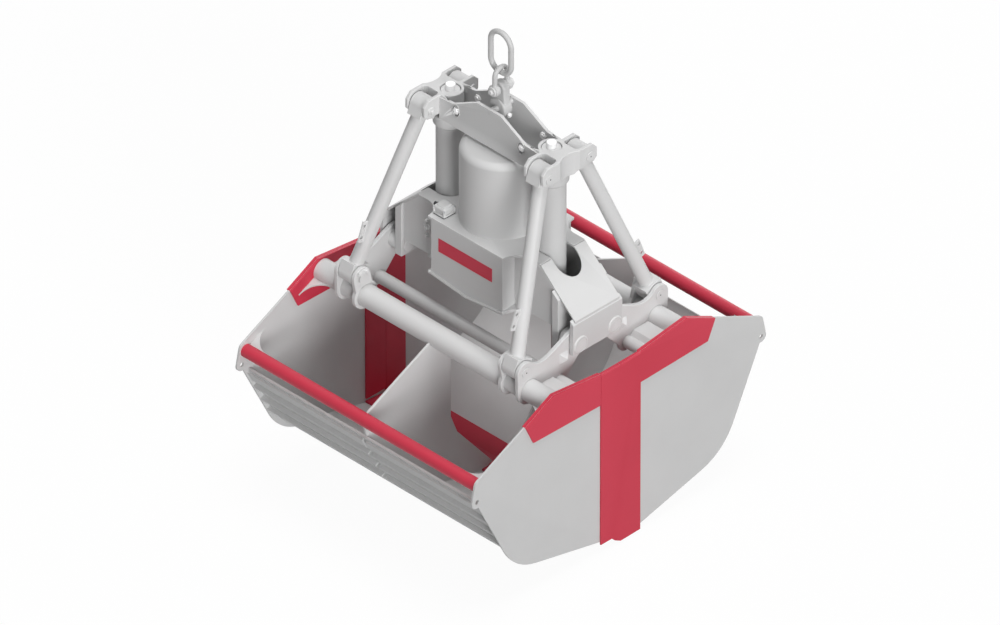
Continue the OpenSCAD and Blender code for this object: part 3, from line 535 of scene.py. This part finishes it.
def slab(outline: np.ndarray, hole: np.ndarray, top: Profile, under: Profile) -> Shape:
    """Fills an outline in X and Y between an upper and a lower height, round a hole.

    The plan is cut into triangles whose edges follow the outline, the hole and the lines on which
    a height bends. Every point of it stands once at the top's and once at the underside's
    height, and walls join the two along the edges that bound only one triangle.

    Args:
        outline: Points of the plan's outline.
        hole: Points of a round hole's edge.
        top: Rows of distance in Y from the middle, either way, and the top's height there.
        under: The same for the underside.

    Returns:
        The closed slab.
    """
    far, close = 2000.0, 1e-4
    bends = {y for y, _ in (*top[1:-1], *under[1:-1])}
    creases = sorted(bends | {-y for y in bends})
    ends = np.array([[(-far, y), (far, y)] for y in creases]).reshape(-1, 2)
    plan = np.vstack([outline, hole, ends])
    rings = [np.arange(len(outline)), len(outline) + np.arange(len(hole))]
    edges = np.vstack([np.stack([ring, np.roll(ring, -1)], 1) for ring in rings])
    cuts = (len(plan) - len(ends) + np.arange(len(ends))).reshape(-1, 2)
    found = geometry.delaunay_2d_cdt(
        [Vector(p) for p in plan], np.vstack([edges, cuts]).tolist(), [], 0, close
    )
    flat = np.array([tuple(p) for p in found[0]])
    triangles = np.array(found[2])
    middles = flat[triangles].mean(1)
    triangles = triangles[inside(middles, outline) & ~inside(middles, hole)]
    pairs = np.concatenate([triangles[:, [0, 1]], triangles[:, [1, 2]], triangles[:, [2, 0]]])
    keys, counts = np.unique(np.sort(pairs, 1), axis=0, return_counts=True)
    rim = keys[counts == 1]
    count = len(flat)
    walls = np.stack([rim[:, 0], rim[:, 1], rim[:, 1] + count, rim[:, 0] + count], 1)
    heights = [np.interp(abs(flat[:, 1]), *zip(*line)) for line in (top, under)]
    places = np.vstack([np.column_stack([flat, height]) for height in heights])
    used, numbers = np.unique(
        np.concatenate([triangles.ravel(), (triangles + count).ravel()]), return_inverse=True
    )
    faces = numbers.reshape(-1, 3).tolist() + np.searchsorted(used, walls).tolist()
    return Shape(places[used], faces)


def inside(places: np.ndarray, outline: np.ndarray) -> np.ndarray:
    """Tells which places lie inside an outline, by counting the edges to their right.

    Args:
        places: Points in a plane.
        outline: The outline's points.

    Returns:
        True for each place inside.
    """
    a, b = outline[None], np.roll(outline, -1, 0)[None]
    x, y = places[:, None, 0], places[:, None, 1]
    spans = (a[..., 1] > y) != (b[..., 1] > y)
    rise = np.where(b[..., 1] == a[..., 1], 1.0, b[..., 1] - a[..., 1])
    cross = a[..., 0] + (y - a[..., 1]) / rise * (b[..., 0] - a[..., 0])
    return (spans & (x < cross)).sum(1) % 2 == 1


# Making pieces


def soften(piece: Object, width: float) -> None:
    """Rounds a piece's edges with a live bevel and keeps its flats flat.

    Args:
        piece: The object.
        width: Width of the rounding in millimetres.
    """
    bevel = piece.modifiers.new("edges", "BEVEL")
    bevel.width = width * MM
    bevel.segments = 2
    bevel.limit_method = "ANGLE"
    bevel.angle_limit = SHARP
    bevel.use_clamp_overlap = False
    normals = piece.modifiers.new("flats", "WEIGHTED_NORMAL")
    normals.keep_sharp = True


@dataclass
class SubAssembly:
    """A group of pieces that is built together.

    Attributes:
    """

    frame: dict[str, Any]

    def build(self) -> None:
        """Builds every piece of the sub-assembly."""
        raise NotImplementedError

    def body(self, node: str) -> str:
        """The body that a CAD node rides on."""
        return self.frame["nodes"][node]["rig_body"]

    def add(
        self, name: str, shape: Shape | Mesh, body: str, finish: Finishes, edge: float = 0.0
    ) -> Object:
        """Puts a shape into the scene as a piece with its material and smooth shading.

        Args:
            name: The piece's name.
            shape: Its shape, or its mesh in place.
            body: The CAD body that it rides on.
            finish: Its finish.
            edge: Width of the rounding on its edges in millimetres, or 0.

        Returns:
            The new object.
        """
        mesh = shape.mesh(name) if isinstance(shape, Shape) else shape
        mesh.materials.append(finish.value.material())
        mesh.shade_smooth()
        mesh.set_sharp_from_angle(angle=SHARP)
        piece = bpy.data.objects.new(name, mesh)
        bpy.context.scene.collection.objects.link(piece)
        if edge:
            soften(piece, edge)
        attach(piece, body)
        log.info("%s rides on %s", name, body)
        return piece

    def stand_in(
        self, name: str, shape: Shape, node: str, finish: Finishes, edge: float = 0.0
    ) -> None:
        """Adds a piece that stands for a CAD node and rides on its body."""
        piece = self.add(name, shape, self.body(node), finish, edge)
        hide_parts(node)

    def dress(self, node: str, finish: Finishes, edge: float = 1.5) -> Object:
        """Shows a merged copy of a CAD node, with rounded edges and its real finish.

        Args:
            node: The CAD node.
            finish: Its finish.
            edge: Width of the rounding in millimetres.

        Returns:
            The copy, which stands for the node.
        """
        shape = bmesh.new()
        shape.from_mesh(self.frame["nodes"][node].data)
        bmesh.ops.remove_doubles(shape, verts=shape.verts, dist=MERGE)
        bmesh.ops.dissolve_limit(shape, angle_limit=FLAT, verts=shape.verts, edges=shape.edges)
        mesh = bpy.data.meshes.new(node)
        shape.to_mesh(mesh)
        shape.free()
        piece = self.add(f"{node}_dressed", mesh, self.body(node), finish, edge)
        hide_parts(node)
        return piece

    def dress_all(self, rows: Sequence[tuple[str, Finishes, float]]) -> None:
        """Dresses groups of CAD nodes.

        Args:
            rows: For each group its nodes, with spaces between, its finish and its rounding.
        """
        for nodes, finish, edge in rows:
            for node in nodes.split():
                self.dress(node, finish, edge)


@dataclass
class Suspension(SubAssembly):
    """Master link, shackle and suspension link.

    Attributes:
        bar: Radius of the master link's round bar.
        half: Half width of the master link on its bar's centre line.
        flat: Half length of its straight bottom.
        low: Height of its bottom's centre line.
        crown: Height of its crown's centre.
        bow: Radius of the shackle bow's bar.
        leg: Distance of a shackle leg from the middle, which is also the crown's radius.
        arch: Height of the shackle crown's centre.
        pin: Height of the shackle pin.
        end: Distance from the middle at which the pin's shank ends.
        crossbar: Height of the head's crossbar.
        eye: Radius of the suspension link's upper end.
        hub: Radius of its lower hub.
    """

    bar: float = 13.2
    half: float = 64.0
    flat: float = 8.0
    low: float = 2191.5
    crown: float = 2341.5
    bow: float = 12.0
    leg: float = 38.5
    arch: float = 2178.5
    pin: float = 2109.0
    end: float = 51.5
    crossbar: float = 2005.0
    eye: float = 40.0
    hub: float = 50.0

    def build(self) -> None:
        """Builds the forged parts and the bolt."""
        self.stand_in("master_link_forged", self.ring(), "master_link", Finishes.FORGED)
        self.stand_in("shackle_bow_forged", self.shackle(), "shackle_bow", Finishes.FORGED)
        self.stand_in("shackle_pin_turned", self.shackle_pin(), "shackle_pin", Finishes.LIGHT)
        self.stand_in("suspension_link_forged", self.link(), "suspension_link", Finishes.FORGED)
        # Lock bolt in the near-white faced finish, whose colour is a painted reflection
        self.dress("lock_bolt", Finishes.FACED_PAINTED_REFLECTION)

    def ring(self) -> Shape:
        """A round bar bent to an oblong ring."""
        bend = self.half - self.flat
        right = arc((self.flat, self.low + bend), bend, -90, 0)
        crown = arc((0, self.crown), self.half, 0, 180, 41)
        path = np.vstack([right, crown, right[::-1] * (-1, 1)])
        return sweep(np.insert(path, 1, 0, 1), circle(self.bar, 28), (0, 1, 0), loop=True)

    def shackle(self) -> Shape:
        """A bar bent to a bow, with an eye at the foot of each leg."""
        leg = np.array([(self.leg, z) for z in np.linspace(self.pin, self.arch, 4)[:-1]])
        path = np.vstack([leg, arc((0, self.arch), self.leg, 0, 180, 33), leg[::-1] * (-1, 1)])
        ring = [(14.1, -13), (26, -13), (28.8, -10), (28.8, 10), (26, 13), (14.1, 13)]
        eye = lathe(ring, (0, self.leg, self.pin), (0, 1, 0), loop=True)
        return sweep(np.insert(path, 0, 0, 1), circle(self.bow), (1, 0, 0)) + eye.both_y()

    def shackle_pin(self) -> Shape:
        """The pin's end beyond the nut, the nut, the shank and the head."""
        end = self.end
        thread = [(0, -72), (9, -72), (12, -69), (12, -61)]
        nut = [(22, -61), (24, -59), (24, -54), (22, -end)]
        shank = [(14, -end), (14, end)]
        head = [(18, end), (20, end + 2), (20, end + 13), (17, end + 16), (0, end + 16)]
        return lathe(thread + nut + shank + head, (0, 0, self.pin), (0, 1, 0))

    def link(self) -> Shape:
        """A thick hub on the crossbar and a thinner neck that ends in the upper eye."""
        drop, thin, thick = 3, 20, 27
        arch = arc((0, self.pin - drop), self.eye, 0, 180, 33)
        foot = [(-self.eye, self.crossbar), (self.eye, self.crossbar)]
        neck = rimmed(np.vstack([arch, foot]), -thin, thin, 1, edge=8)
        hub = circle(self.hub, 72) + (0, self.crossbar)
        return neck + rimmed(hub, -thick, thick, 1, edge=9)


@dataclass
class Head(SubAssembly):
    """Head plates, brackets, pins and guard tubes.

    Attributes:
        cylinder: Distance of a cylinder from the middle.
        face: Distance of a head plate's outer face from the middle.
        recess: Place of an oval recess in X and Z.
        inner: Distance of a bracket's inner ear from the middle.
        outer: Distance of its outer ear's face from the middle.
        reach: Distance of the ears' ends from the middle.
        pin: Place of a rod pin in Y and Z.
        low: Height of the head's underside.
        top: Height of the brackets' top.
        hole: Radius of the round recess over a rod.
        tube: Height of the guard tubes' lower end.
        rod: Height at which a piston rod gets thinner.
    """

    cylinder: float = 320.0
    face: float = 79.0
    recess: Pair = (206.6, 1914.9)
    inner: float = 313.0
    outer: float = 437.0
    reach: float = 171.0
    pin: Pair = (128.0, 1883.0)
    low: float = 1820.5
    top: float = 1944.0
    hole: float = 48.0
    tube: float = 1121.0
    rod: float = 1850.5

    def build(self) -> None:
        """Builds the brackets, tubes and rods and dresses the rest."""
        self.dress("head_plates", Finishes.GREY, 0.0)
        self.dress("crossbar", Finishes.GREY)
        # Head bolts in the near-white faced finish, whose colour is a painted reflection on their
        # tops
        self.dress("head_bolts", Finishes.FACED_PAINTED_REFLECTION, 1.0)
        self.stand_in("bracket_castings", self.brackets(), "head_brackets", Finishes.CAST, 2.5)
        self.stand_in("upper_pins_turned", self.pins(), "upper_rod_pins", Finishes.LIGHT)
        self.stand_in("guard_tubes_turned", self.tubes(), "guard_tubes", Finishes.GREY)
        self.stand_in("piston_rods_ground", self.rods(), "piston_rods", Finishes.CHROME)
        head = self.body("head_plates")
        # Rod ends in the near-white faced finish, whose colour is a painted reflection of the sky
        self.add("rod_ends", self.rod_ends(), head, Finishes.FACED_PAINTED_REFLECTION)
        self.add("recess_rims", self.rims(), head, Finishes.GREY)
        # Dark iron discs on the upper pins' ends: painted shade for their centre holes
        marks = centre_hole_shade(3.4, (self.outer + 5, *self.pin)).both_x().both_y()
        self.add("pin_centre_hole_shade", marks, head, Finishes.IRON)

    def plan(self) -> np.ndarray:
        """The right bracket from above: waist, ears, a round window between two, and boss."""
        near, far, end, bend = 329, 421, 60, 22
        side = np.vstack(
            [
                [(self.outer, self.reach), (far, self.reach)],
                arc((far - bend, end + bend), bend, 0, -90, 9),
                arc((near + bend, end + bend), bend, -90, -180, 9),
                [(near, self.reach), (self.inner, self.reach)],
            ]
        )
        waist = arc((511, 0), 96, 219.4, 140.6, 21)
        boss = arc((self.cylinder, 0), 62, 96.5, 263.5, 33)
        return np.vstack([waist, side, boss, side[::-1] * (1, -1)])

    def brackets(self) -> Shape:
        """Both castings, each with a floor in its round recess and two webs."""
        over = [(0, self.top), (142, self.top), (self.reach, self.top - 29)]
        under = [(0, self.low), (40, self.low), (65, 1846), (151, 1846), (self.reach, 1866)]
        play, depth = 2.5, 6
        cast = slab(self.plan(), circle(self.hole, 48) + (self.cylinder, 0), over, under)
        disc = circle(self.hole - play, 48) + (self.cylinder, 0)
        return (cast + drawn(disc, self.low, self.top - depth, 2) + self.webs()).both_x()

    def webs(self) -> Shape:
        """Two low webs that lead from the boss out to the head plates in concave curves."""
        arch = arc((self.cylinder - 70, 8), 62, 60, 84, 9)
        ends = [(self.cylinder - 64, 70), (self.cylinder, 70), (self.cylinder, 50)]
        return drawn(np.vstack([arch, ends]), self.top - 40, self.top - 0.2, 2).both_y()

    def pins(self) -> Shape:
        """Four pins with a stepped cap inside and a flat disc outside."""
        start, end = self.inner - 5, self.outer
        cap = [(0, start - 9), (9, start - 9), (11, start - 7), (11, start - 3), (19, start - 3)]
        shank = [(20, start), (20, end)]
        disc = [(24, end), (25, end + 1), (25, end + 4), (24, end + 5), (0, end + 5)]
        return lathe(cap + shank + disc, (0, *self.pin), (1, 0, 0)).both_x().both_y()

    def tubes(self) -> Shape:
        """Two tubes, each with a broad collar under the head that tapers into the tube."""
        bore, out, wide, foot = 62.5, 67.5, 80.5, self.low - 50
        tube = [(bore, self.low), (bore, self.tube), (out, self.tube), (out, foot - 14)]
        collar = [(wide, foot), (wide, self.low - 3), (wide - 3, self.low)]
        return lathe(tube + collar, (self.cylinder, 0, 0), (0, 0, 1), 96, loop=True).both_x()

    def rods(self) -> Shape:
        """Two rods, each with its piston and the groove in it."""
        lower = [(0, 1132), (43, 1132), (44.9, 1134), (44.9, 1150), (42, 1150), (42, 1156)]
        upper = [(44.9, 1156), (44.9, 1180), (43, 1182)]
        rod = [(30, 1182), (30, self.rod), (0, self.rod)]
        return lathe(lower + upper + rod, (self.cylinder, 0, 0), (0, 0, 1)).both_x()

    def rod_ends(self) -> Shape:
        """The rods' thinner ends, which stand out of the recesses with a chamfer."""
        low, end = self.rod + 0.1, 1969
        profile = [(0, low), (23, low), (23, end - 2.5), (20.5, end), (0, end)]
        return lathe(profile, (self.cylinder, 0, 0), (0, 0, 1)).both_x()

    def rims(self) -> Shape:
        """A slender raised rim round each of the four oval recesses."""
        half_axes, bar = (23, 33), 2.2
        path = np.insert(circle(1, 40) * half_axes + self.recess, 1, self.face, 1)
        return sweep(path, circle(bar, 10), (0, 1, 0), loop=True).both_x().both_y()


@dataclass
class CentralFrame(SubAssembly):
    """Tank, wings, cheeks, motor, pump and cylinders.

    Attributes:
        deck: Height of the deck.
        motor: Radius of the motor housing.
        motor_top: Height of its top.
        shoulder: Radius of its shoulder.
        wall: Its wall.
        foot: Height of its straight foot.
        box: Place of the junction box on the deck in X and Y.
        pivot: Place of a shell pivot in Y and Z.
        cheek: Distance of the cheeks' outer face from the middle.
        fitting: Place of the oil fittings in X and Y.
    """

    deck: float = 1400.0
    motor: float = 189.0
    motor_top: float = 1805.0
    shoulder: float = 34.0
    wall: float = 10.0
    foot: float = 20.0
    box: Pair = (-198.0, -162.0)
    pivot: Pair = (109.0, 1059.0)
    cheek: float = 615.0
    fitting: Pair = (-327.0, -141.0)

    def build(self) -> None:
        """Builds the turned and moulded parts and dresses the sheet metal."""
        sheets = [
            ("tank_body wing_boxes cheek_plates", Finishes.GREY, 2.0),
            ("deck_plate wing_covers", Finishes.GREY, 1.5),
        ]
        self.dress_all(sheets)
        self.stand_in("motor_shell", self.motor_shell(), "motor_housing", Finishes.GREY)
        self.stand_in("pivot_pins_turned", self.pivot_pins(), "pivot_pins", Finishes.LIGHT)
        self.stand_in("junction_box_moulded", self.junction(), "junction_box", Finishes.GREY)
        self.stand_in("junction_bolts", self.box_screws(), "junction_screws", Finishes.ZINC)
        # Dark seat under the box: painted shadow in the gap below its base plate
        self.add("junction_seat_painted_shadow", self.shadow_seat(), self.body("deck_plate"), Finishes.IRON)
        self.stand_in("oil_unions", self.unions(), "oil_fittings", Finishes.CAST)
        works = [
            ("cable_gland", Finishes.NYLON, 0.8),
            ("nameplate", Finishes.RED, 0.6),
            ("motor_stator", Finishes.LAMINATED, 1.0),
            ("motor_rotor pump_rotor", Finishes.TURNED, 1.0),
            ("shaft_coupling pump_housing valve_block cylinder_glands", Finishes.IRON, 1.5),
            ("suction_filter", Finishes.ZINC, 1.0),
            ("cylinder_barrels", Finishes.DRAWN, 1.0),
        ]
        self.dress_all(works)

    def motor_shell(self) -> Shape:
        """A drawn shell with a straight foot and a round shoulder, open below."""
        out, top, wall = self.motor, self.motor_top, self.wall
        centre = (out - self.shoulder, top - self.shoulder)
        foot = [(out - wall, self.deck), (out, self.deck), (out, self.deck + self.foot)]
        outer = arc(centre, self.shoulder, 0, 90)
        inner = arc(centre, self.shoulder - wall, 90, 0, 13)
        profile = np.vstack([foot, outer, [(0, top), (0, top - wall)], inner])
        return lathe(profile, (0, 0, 0), (0, 0, 1), 128, loop=True)

    def pivot_pins(self) -> Shape:
        """Four pins with a chamfered collar and a turned groove outside the cheeks."""
        x = self.cheek
        shank = [(0, 473), (31, 473), (33, 475), (33, x)]
        collar = [(43, x), (43, x + 1.5), (39, x + 5), (35, x + 5)]
        groove = [(34, x + 3), (32, x + 3), (31, x + 5), (0, x + 5)]
        pin = lathe(shank + collar + groove, (0, *self.pivot), (1, 0, 0))
        return pin.both_x().both_y()

    def on_box(self, profile: Profile, out: float, steps: int) -> Shape:
        """A profile turned upright at the box's corners, out from its middle both ways."""
        turned = lathe(profile, (out, out, self.deck), (0, 0, 1), steps)
        return turned.both_x().both_y().moved(*self.box, 0)

    def junction(self) -> Shape:
        """A base plate, a body, a lid with a crowned panel, and four corner lugs."""
        box = self.on_box([(0, 12), (6.5, 12), (6.5, 33), (5.5, 34), (0, 34)], 32, 24)
        # Half width, corners' radius, lower and upper height, rims' radius and steps
        for half, corner, low, high, edge, steps in (
            (38.5, 6, 5, 13, 1.5, 5),
            (33, 12, 12, 30, 2, 5),
            (36, 16, 24, 46, 9, 7),
            (27, 10, 40, 51.8, 6, 5),
        ):
            outline = rounded(SQUARE * half, corner) + self.box
            box += rimmed(outline, self.deck + low, self.deck + high, 2, edge, steps)
        return box

    def box_screws(self) -> Shape:
        """Four cap screws in the corner lugs, beside the lid."""
        socket = [(1.8, 39), (1.6, 37.5), (0, 37.5)]
        return self.on_box([(0, 30), (4.2, 30), (4.6, 38), (3.6, 39), *socket], 33, 20)

    def shadow_seat(self) -> Shape:
        """A dark iron seat just inside the junction box's raised base plate: painted shadow in
        the gap beneath the plate.
        """
        half, corner, height = 36, 8, 5.5
        outline = rounded(SQUARE * half, corner) + self.box
        return drawn(outline, self.deck, self.deck + height, 2)

    def unions(self) -> Shape:
        """A flat screw cap on the wing's side between two small plugs."""
        cap = [(0, 0), (22, 0), (24, 2), (24, 4), (22, 6), (12, 6), (11, 12), (9, 14), (0, 14)]
        plug = [(0, 0), (11, 0), (11, 3), (8, 5), (8, 12), (6, 14), (0, 14)]
        upper, middle, lower = ((*self.fitting, z) for z in (1285, 1245, 1204))
        away = (0, -1, 0)
        pair = lathe(plug, upper, away, 32) + lathe(plug, lower, away, 32)
        return pair + lathe(cap, middle, away, 40)


@dataclass
class Shell(SubAssembly):
    """One shell of the bucket with its arms.

    Attributes:
        side: front or rear.
        half: Half length of the wall.
        thickness: Thickness of the wall.
        step: Height by which this shell's floor lies off the middle, up in front.
        blend: Height at which the step has faded out.
        floor_end: Distance from the middle at which the floor meets its lip.
        band: Distance from the middle at which the red band ends on the top edge.
        band_foot: Height of the band's lower end.
        keeper: Middle of the keeper plate in X, Y and Z.
        low_pin: Middle of a lower pin's end in X, Y and Z.
    """

    side: str = "front"
    half: float = 744.0
    thickness: float = 12.0
    step: float = 15.0
    blend: float = 605.0
    floor_end: float = 129.4
    band: float = 604.0
    band_foot: float = 880.0
    keeper: Triple = (447.0, 426.0, 1076.0)
    low_pin: Triple = (589.0, 426.0, 1047.0)

    def build(self) -> None:
        """Builds the wall and dresses the plates, tubes and red edges."""
        rows = (
            ("cutting_lip", Finishes.RED, 2.0),
            ("edge_bands", Finishes.RED, 0.8),
            ("top_bar", Finishes.RED, 1.0),
            ("cross_tubes", Finishes.LIGHT, 1.0),
            ("wall_ribs", Finishes.GREY, 1.5),
            ("centre_rib", Finishes.GREY, 1.5),
            ("arms", Finishes.CAST, 2.0),
            ("hub_bushes", Finishes.CAST, 0.8),
            ("low_rod_pins", Finishes.LIGHT, 1.2),
        )
        self.dress_all([(f"{part}_{self.side}", *look) for part, *look in rows])
        self.paint_edges(self.dress(f"end_plates_{self.side}", Finishes.GREY, 0.25))
        wall = f"bucket_wall_{self.side}"
        self.stand_in(f"rolled_wall_{self.side}", self.wall(), wall, Finishes.GREY)
        body = self.body(wall)
        if self.side == "rear":
            self.add("strip_caps", self.caps(), body, Finishes.RED)
        self.add(f"keeper_bolts_{self.side}", self.bolts(), body, Finishes.LIGHT)
        # Dark iron discs on the lower pins' ends: painted shade for their centre holes
        marks = self.placed(centre_hole_shade(3.6, self.low_pin))
        self.add(f"low_pin_centre_hole_shade_{self.side}", marks, body, Finishes.IRON)

    def placed(self, shape: Shape) -> Shape:
        """A shape drawn at the rear right, on both hands of this shell."""
        return shape.times(1, SIDES[self.side], 1).both_x()

    def wall(self) -> Shape:
        """The rolled wall: a straight steep part, a parabola and a straight floor.

        The outer face runs through the path's points and the inner face lies the wall's
        thickness inside it, square to the path. Heights are off by the step times
        1 - z / blend, where that is positive.
        """
        line = [(868.5, 618.9), (713.5, 311.5), (637.9, 167.3), (495.2, 129), (89.8, 23.2)]
        y, z = np.array(line).T
        z = z - SIDES[self.side] * self.step * np.maximum(0, 1 - z / self.blend)
        top, steep, corner, floor, low = np.stack([y, z], 1)
        bend = parabola(np.linspace(0, 1, 25)[:, None], steep, corner, floor)
        last = floor + (low - floor) * (floor[0] - self.floor_end) / (floor[0] - low[0])
        path = np.vstack([top, bend, last])
        along = unit(np.gradient(path, axis=0))
        inner = path + self.thickness * np.stack([along[:, 1], -along[:, 0]], 1)
        outline = np.vstack([path, inner[::-1]]) * (SIDES[self.side], 1)
        return rimmed(outline, -self.half, self.half, 0, edge=0.6, steps=2)

    def caps(self) -> Shape:
        """Thin red wedges that bring the outer strips up to the plates' sloping tops."""
        inner, outer = 754.2, 762.2
        wedge = [(1, 962.7), (125, 962.7), (125, 971.6)]
        return drawn(wedge, inner, outer, 0).both_y().both_x()

    def paint_edges(self, plates: Object) -> None:
        """Paints the plates' narrow top edges red as far as the bands reach.

        A face is on an edge if its normal's part along X is under a half.

        Args:
            plates: The dressed end plates.
        """
        mesh = plates.data
        mesh.materials.append(Finishes.RED.value.material())
        normals = np.empty(len(mesh.polygons) * 3)
        centres = np.empty_like(normals)
        mesh.polygons.foreach_get("normal", normals)
        mesh.polygons.foreach_get("center", centres)
        normals, centres = normals.reshape(-1, 3), centres.reshape(-1, 3)
        height = centres[:, 2] / MM + HANG
        on_edge = (abs(normals[:, 0]) < 0.5) & (abs(centres[:, 0]) > self.half * MM)
        in_band = (abs(centres[:, 1]) < self.band * MM) & (height > self.band_foot)
        mesh.polygons.foreach_set("material_index", (on_edge & in_band).astype(np.int32))
        mesh.update()

    def bolts(self) -> Shape:
        """Two hexagon bolts with washers in each keeper plate."""
        pitch, radius, height = 19, 9, 7
        washer = [(0, 0), (10, 0), (10, 1.6), (0, 1.6)]
        head = rimmed(circle(radius, 6), -height, 0, 0, edge=1, steps=3)
        bolt = (lathe(washer, (0, 0, 0), (-1, 0, 0), 24) + head).moved(*self.keeper)
        return self.placed(bolt.moved(0, -pitch, 0) + bolt.moved(0, pitch, 0))


@dataclass
class Rods(SubAssembly):
    """The four rods between the head and the shells' arms."""

    def build(self) -> None:
        """Dresses the rods."""
        for side in SIDES:
            self.dress_all([(f"rod_{side}_left rod_{side}_right", Finishes.LIGHT, 1.5)])


# The picture


@dataclass
class Studio:
    """Camera, soft light and the pale floor.

    Attributes:
        azimuth: Direction of the camera round the grab in degrees.
        elevation: Its height above the horizon in degrees.
        lens: Focal length in millimetres; long, as the photograph has almost no perspective.
        width: Width of the picture at the grab in metres.
        aim: Point at the middle of the picture, in the frame's metres.
        lamps: Name, direction, strength and spread in degrees of each lamp.
        sky: Strength of the world as light, and where it is seen.
        floor: Height of the floor in the frame's metres.
        paper: Colour of the floor, which takes the shadows.
        glow: Strength of the white that veils the floor where it is seen.
        veil: Share of that white.
    """

    azimuth: float = 45.0
    elevation: float = 35.45
    lens: float = 1000.0
    width: float = 4.5
    aim: Triple = (-0.003, -0.003, -1.523)
    lamps: tuple[tuple[str, Triple, float, float], ...] = (
        ("top", (0.10, 0.04, 1.0), 2.0, 30.0),
        ("front", (0.92, -0.41, 0.13), 2.5, 30.0),
        ("back", (-0.80, 0.60, 0.14), 0.9, 50.0),
    )
    sky: Pair = (0.25, 1.0)
    floor: float = -2.411
    paper: str = "#949494"
    glow: float = 1.12
    veil: float = 0.85

    def build(self) -> None:
        """Builds the camera, the lamps, the world and the floor."""
        self.set_camera()
        self.set_light()
        self.set_floor()
        bpy.context.scene.view_settings.view_transform = "Standard"

    def set_camera(self) -> None:
        """Places a long lens on a sphere round the aim."""
        a, e = math.radians(self.azimuth), math.radians(self.elevation)
        back = Vector((math.sin(a) * math.cos(e), -math.cos(a) * math.cos(e), math.sin(e)))
        data = bpy.data.cameras.new("camera")
        data.lens = self.lens
        data.sensor_width = 36.0
        distance = self.width * self.lens / data.sensor_width
        data.clip_start, data.clip_end = 1.0, distance * 3
        camera = bpy.data.objects.new("camera", data)
        camera.location = Vector(self.aim) + back * distance
        camera.rotation_mode = "QUATERNION"
        camera.rotation_quaternion = (-back).to_track_quat("-Z", "Y")
        bpy.context.scene.collection.objects.link(camera)
        bpy.context.scene.camera = camera

    def seen(self, tree: NodeTree) -> NodeSocket:
        """A socket that is 1 where the background is seen, directly or in gloss or glass.

        Args:
            tree: The world's or the floor's node tree.

        Returns:
            The socket.
        """
        path = add_node(tree, "LightPath").outputs
        seen = path["Is Camera Ray"]
        for ray in ("Is Glossy Ray", "Is Transmission Ray"):
            either = {0: seen, 1: path[ray]}
            seen = add_node(tree, "Math", {"operation": "MAXIMUM"}, either).outputs[0]
        return seen

    def set_light(self) -> None:
        """Lights the grab from the sky, from above and by broad lamps in front and behind."""
        for name, toward, energy, spread in self.lamps:
            data = bpy.data.lights.new(name, "SUN")
            data.energy = energy
            data.angle = math.radians(spread)
            lamp = bpy.data.objects.new(name, data)
            lamp.rotation_mode = "QUATERNION"
            lamp.rotation_quaternion = Vector(toward).to_track_quat("Z", "Y")
            bpy.context.scene.collection.objects.link(lamp)
        world = bpy.data.worlds.new("studio")
        world.use_nodes = True
        tree = world.node_tree
        tree.nodes.clear()
        ends = {"To Min": self.sky[0], "To Max": self.sky[1]}
        strength = add_node(tree, "MapRange", ends, {"Value": self.seen(tree)}).outputs["Result"]
        sky = add_node(tree, "Background", {"Color": (1, 1, 1, 1)}, {"Strength": strength})
        add_node(tree, "OutputWorld", links={"Surface": sky.outputs[0]})
        bpy.context.scene.world = world

    def set_floor(self) -> None:
        """Lays a round white floor that keeps a light shadow and hides nothing from below."""
        radius, steps = 30, 64
        rim = np.insert(circle(radius, steps), 2, self.floor, 1)
        mesh = bpy.data.meshes.new("floor")
        mesh.from_pydata(rim.tolist(), [], [tuple(range(steps))])
        floor = bpy.data.objects.new("floor", mesh)
        bpy.context.scene.collection.objects.link(floor)
        material = bpy.data.materials.new("white_paper_roll")
        material.use_nodes = True
        tree = material.node_tree
        tree.nodes.clear()
        matt = {"Color": linear(self.paper), "Roughness": 1.0}
        paper = add_node(tree, "BsdfDiffuse", matt).outputs[0]
        white = {"Color": (1, 1, 1, 1), "Strength": self.glow}
        glow = add_node(tree, "Emission", white).outputs[0]
        veil = {"operation": "MULTIPLY", 1: self.veil}
        share = add_node(tree, "Math", veil, {0: self.seen(tree)}).outputs[0]
        top = add_node(tree, "MixShader", links={0: share, 1: paper, 2: glow}).outputs[0]
        clear = add_node(tree, "BsdfTransparent").outputs[0]
        under = add_node(tree, "NewGeometry").outputs["Backfacing"]
        both = add_node(tree, "MixShader", links={0: under, 1: top, 2: clear}).outputs[0]
        add_node(tree, "OutputMaterial", links={"Surface": both})
        mesh.materials.append(material)


def main() -> None:
    """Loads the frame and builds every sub-assembly in order."""
    logging.basicConfig(level=logging.INFO, format="%(name)s: %(message)s")
    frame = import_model()
    Studio().build()
    for group in (
        Suspension(frame),
        Head(frame),
        CentralFrame(frame),
        Shell(frame, side="front"),
        Shell(frame, side="rear"),
        Rods(frame),
    ):
        group.build()
        log.info("%s is complete", type(group).__name__)


if __name__ == "__main__":
    main()
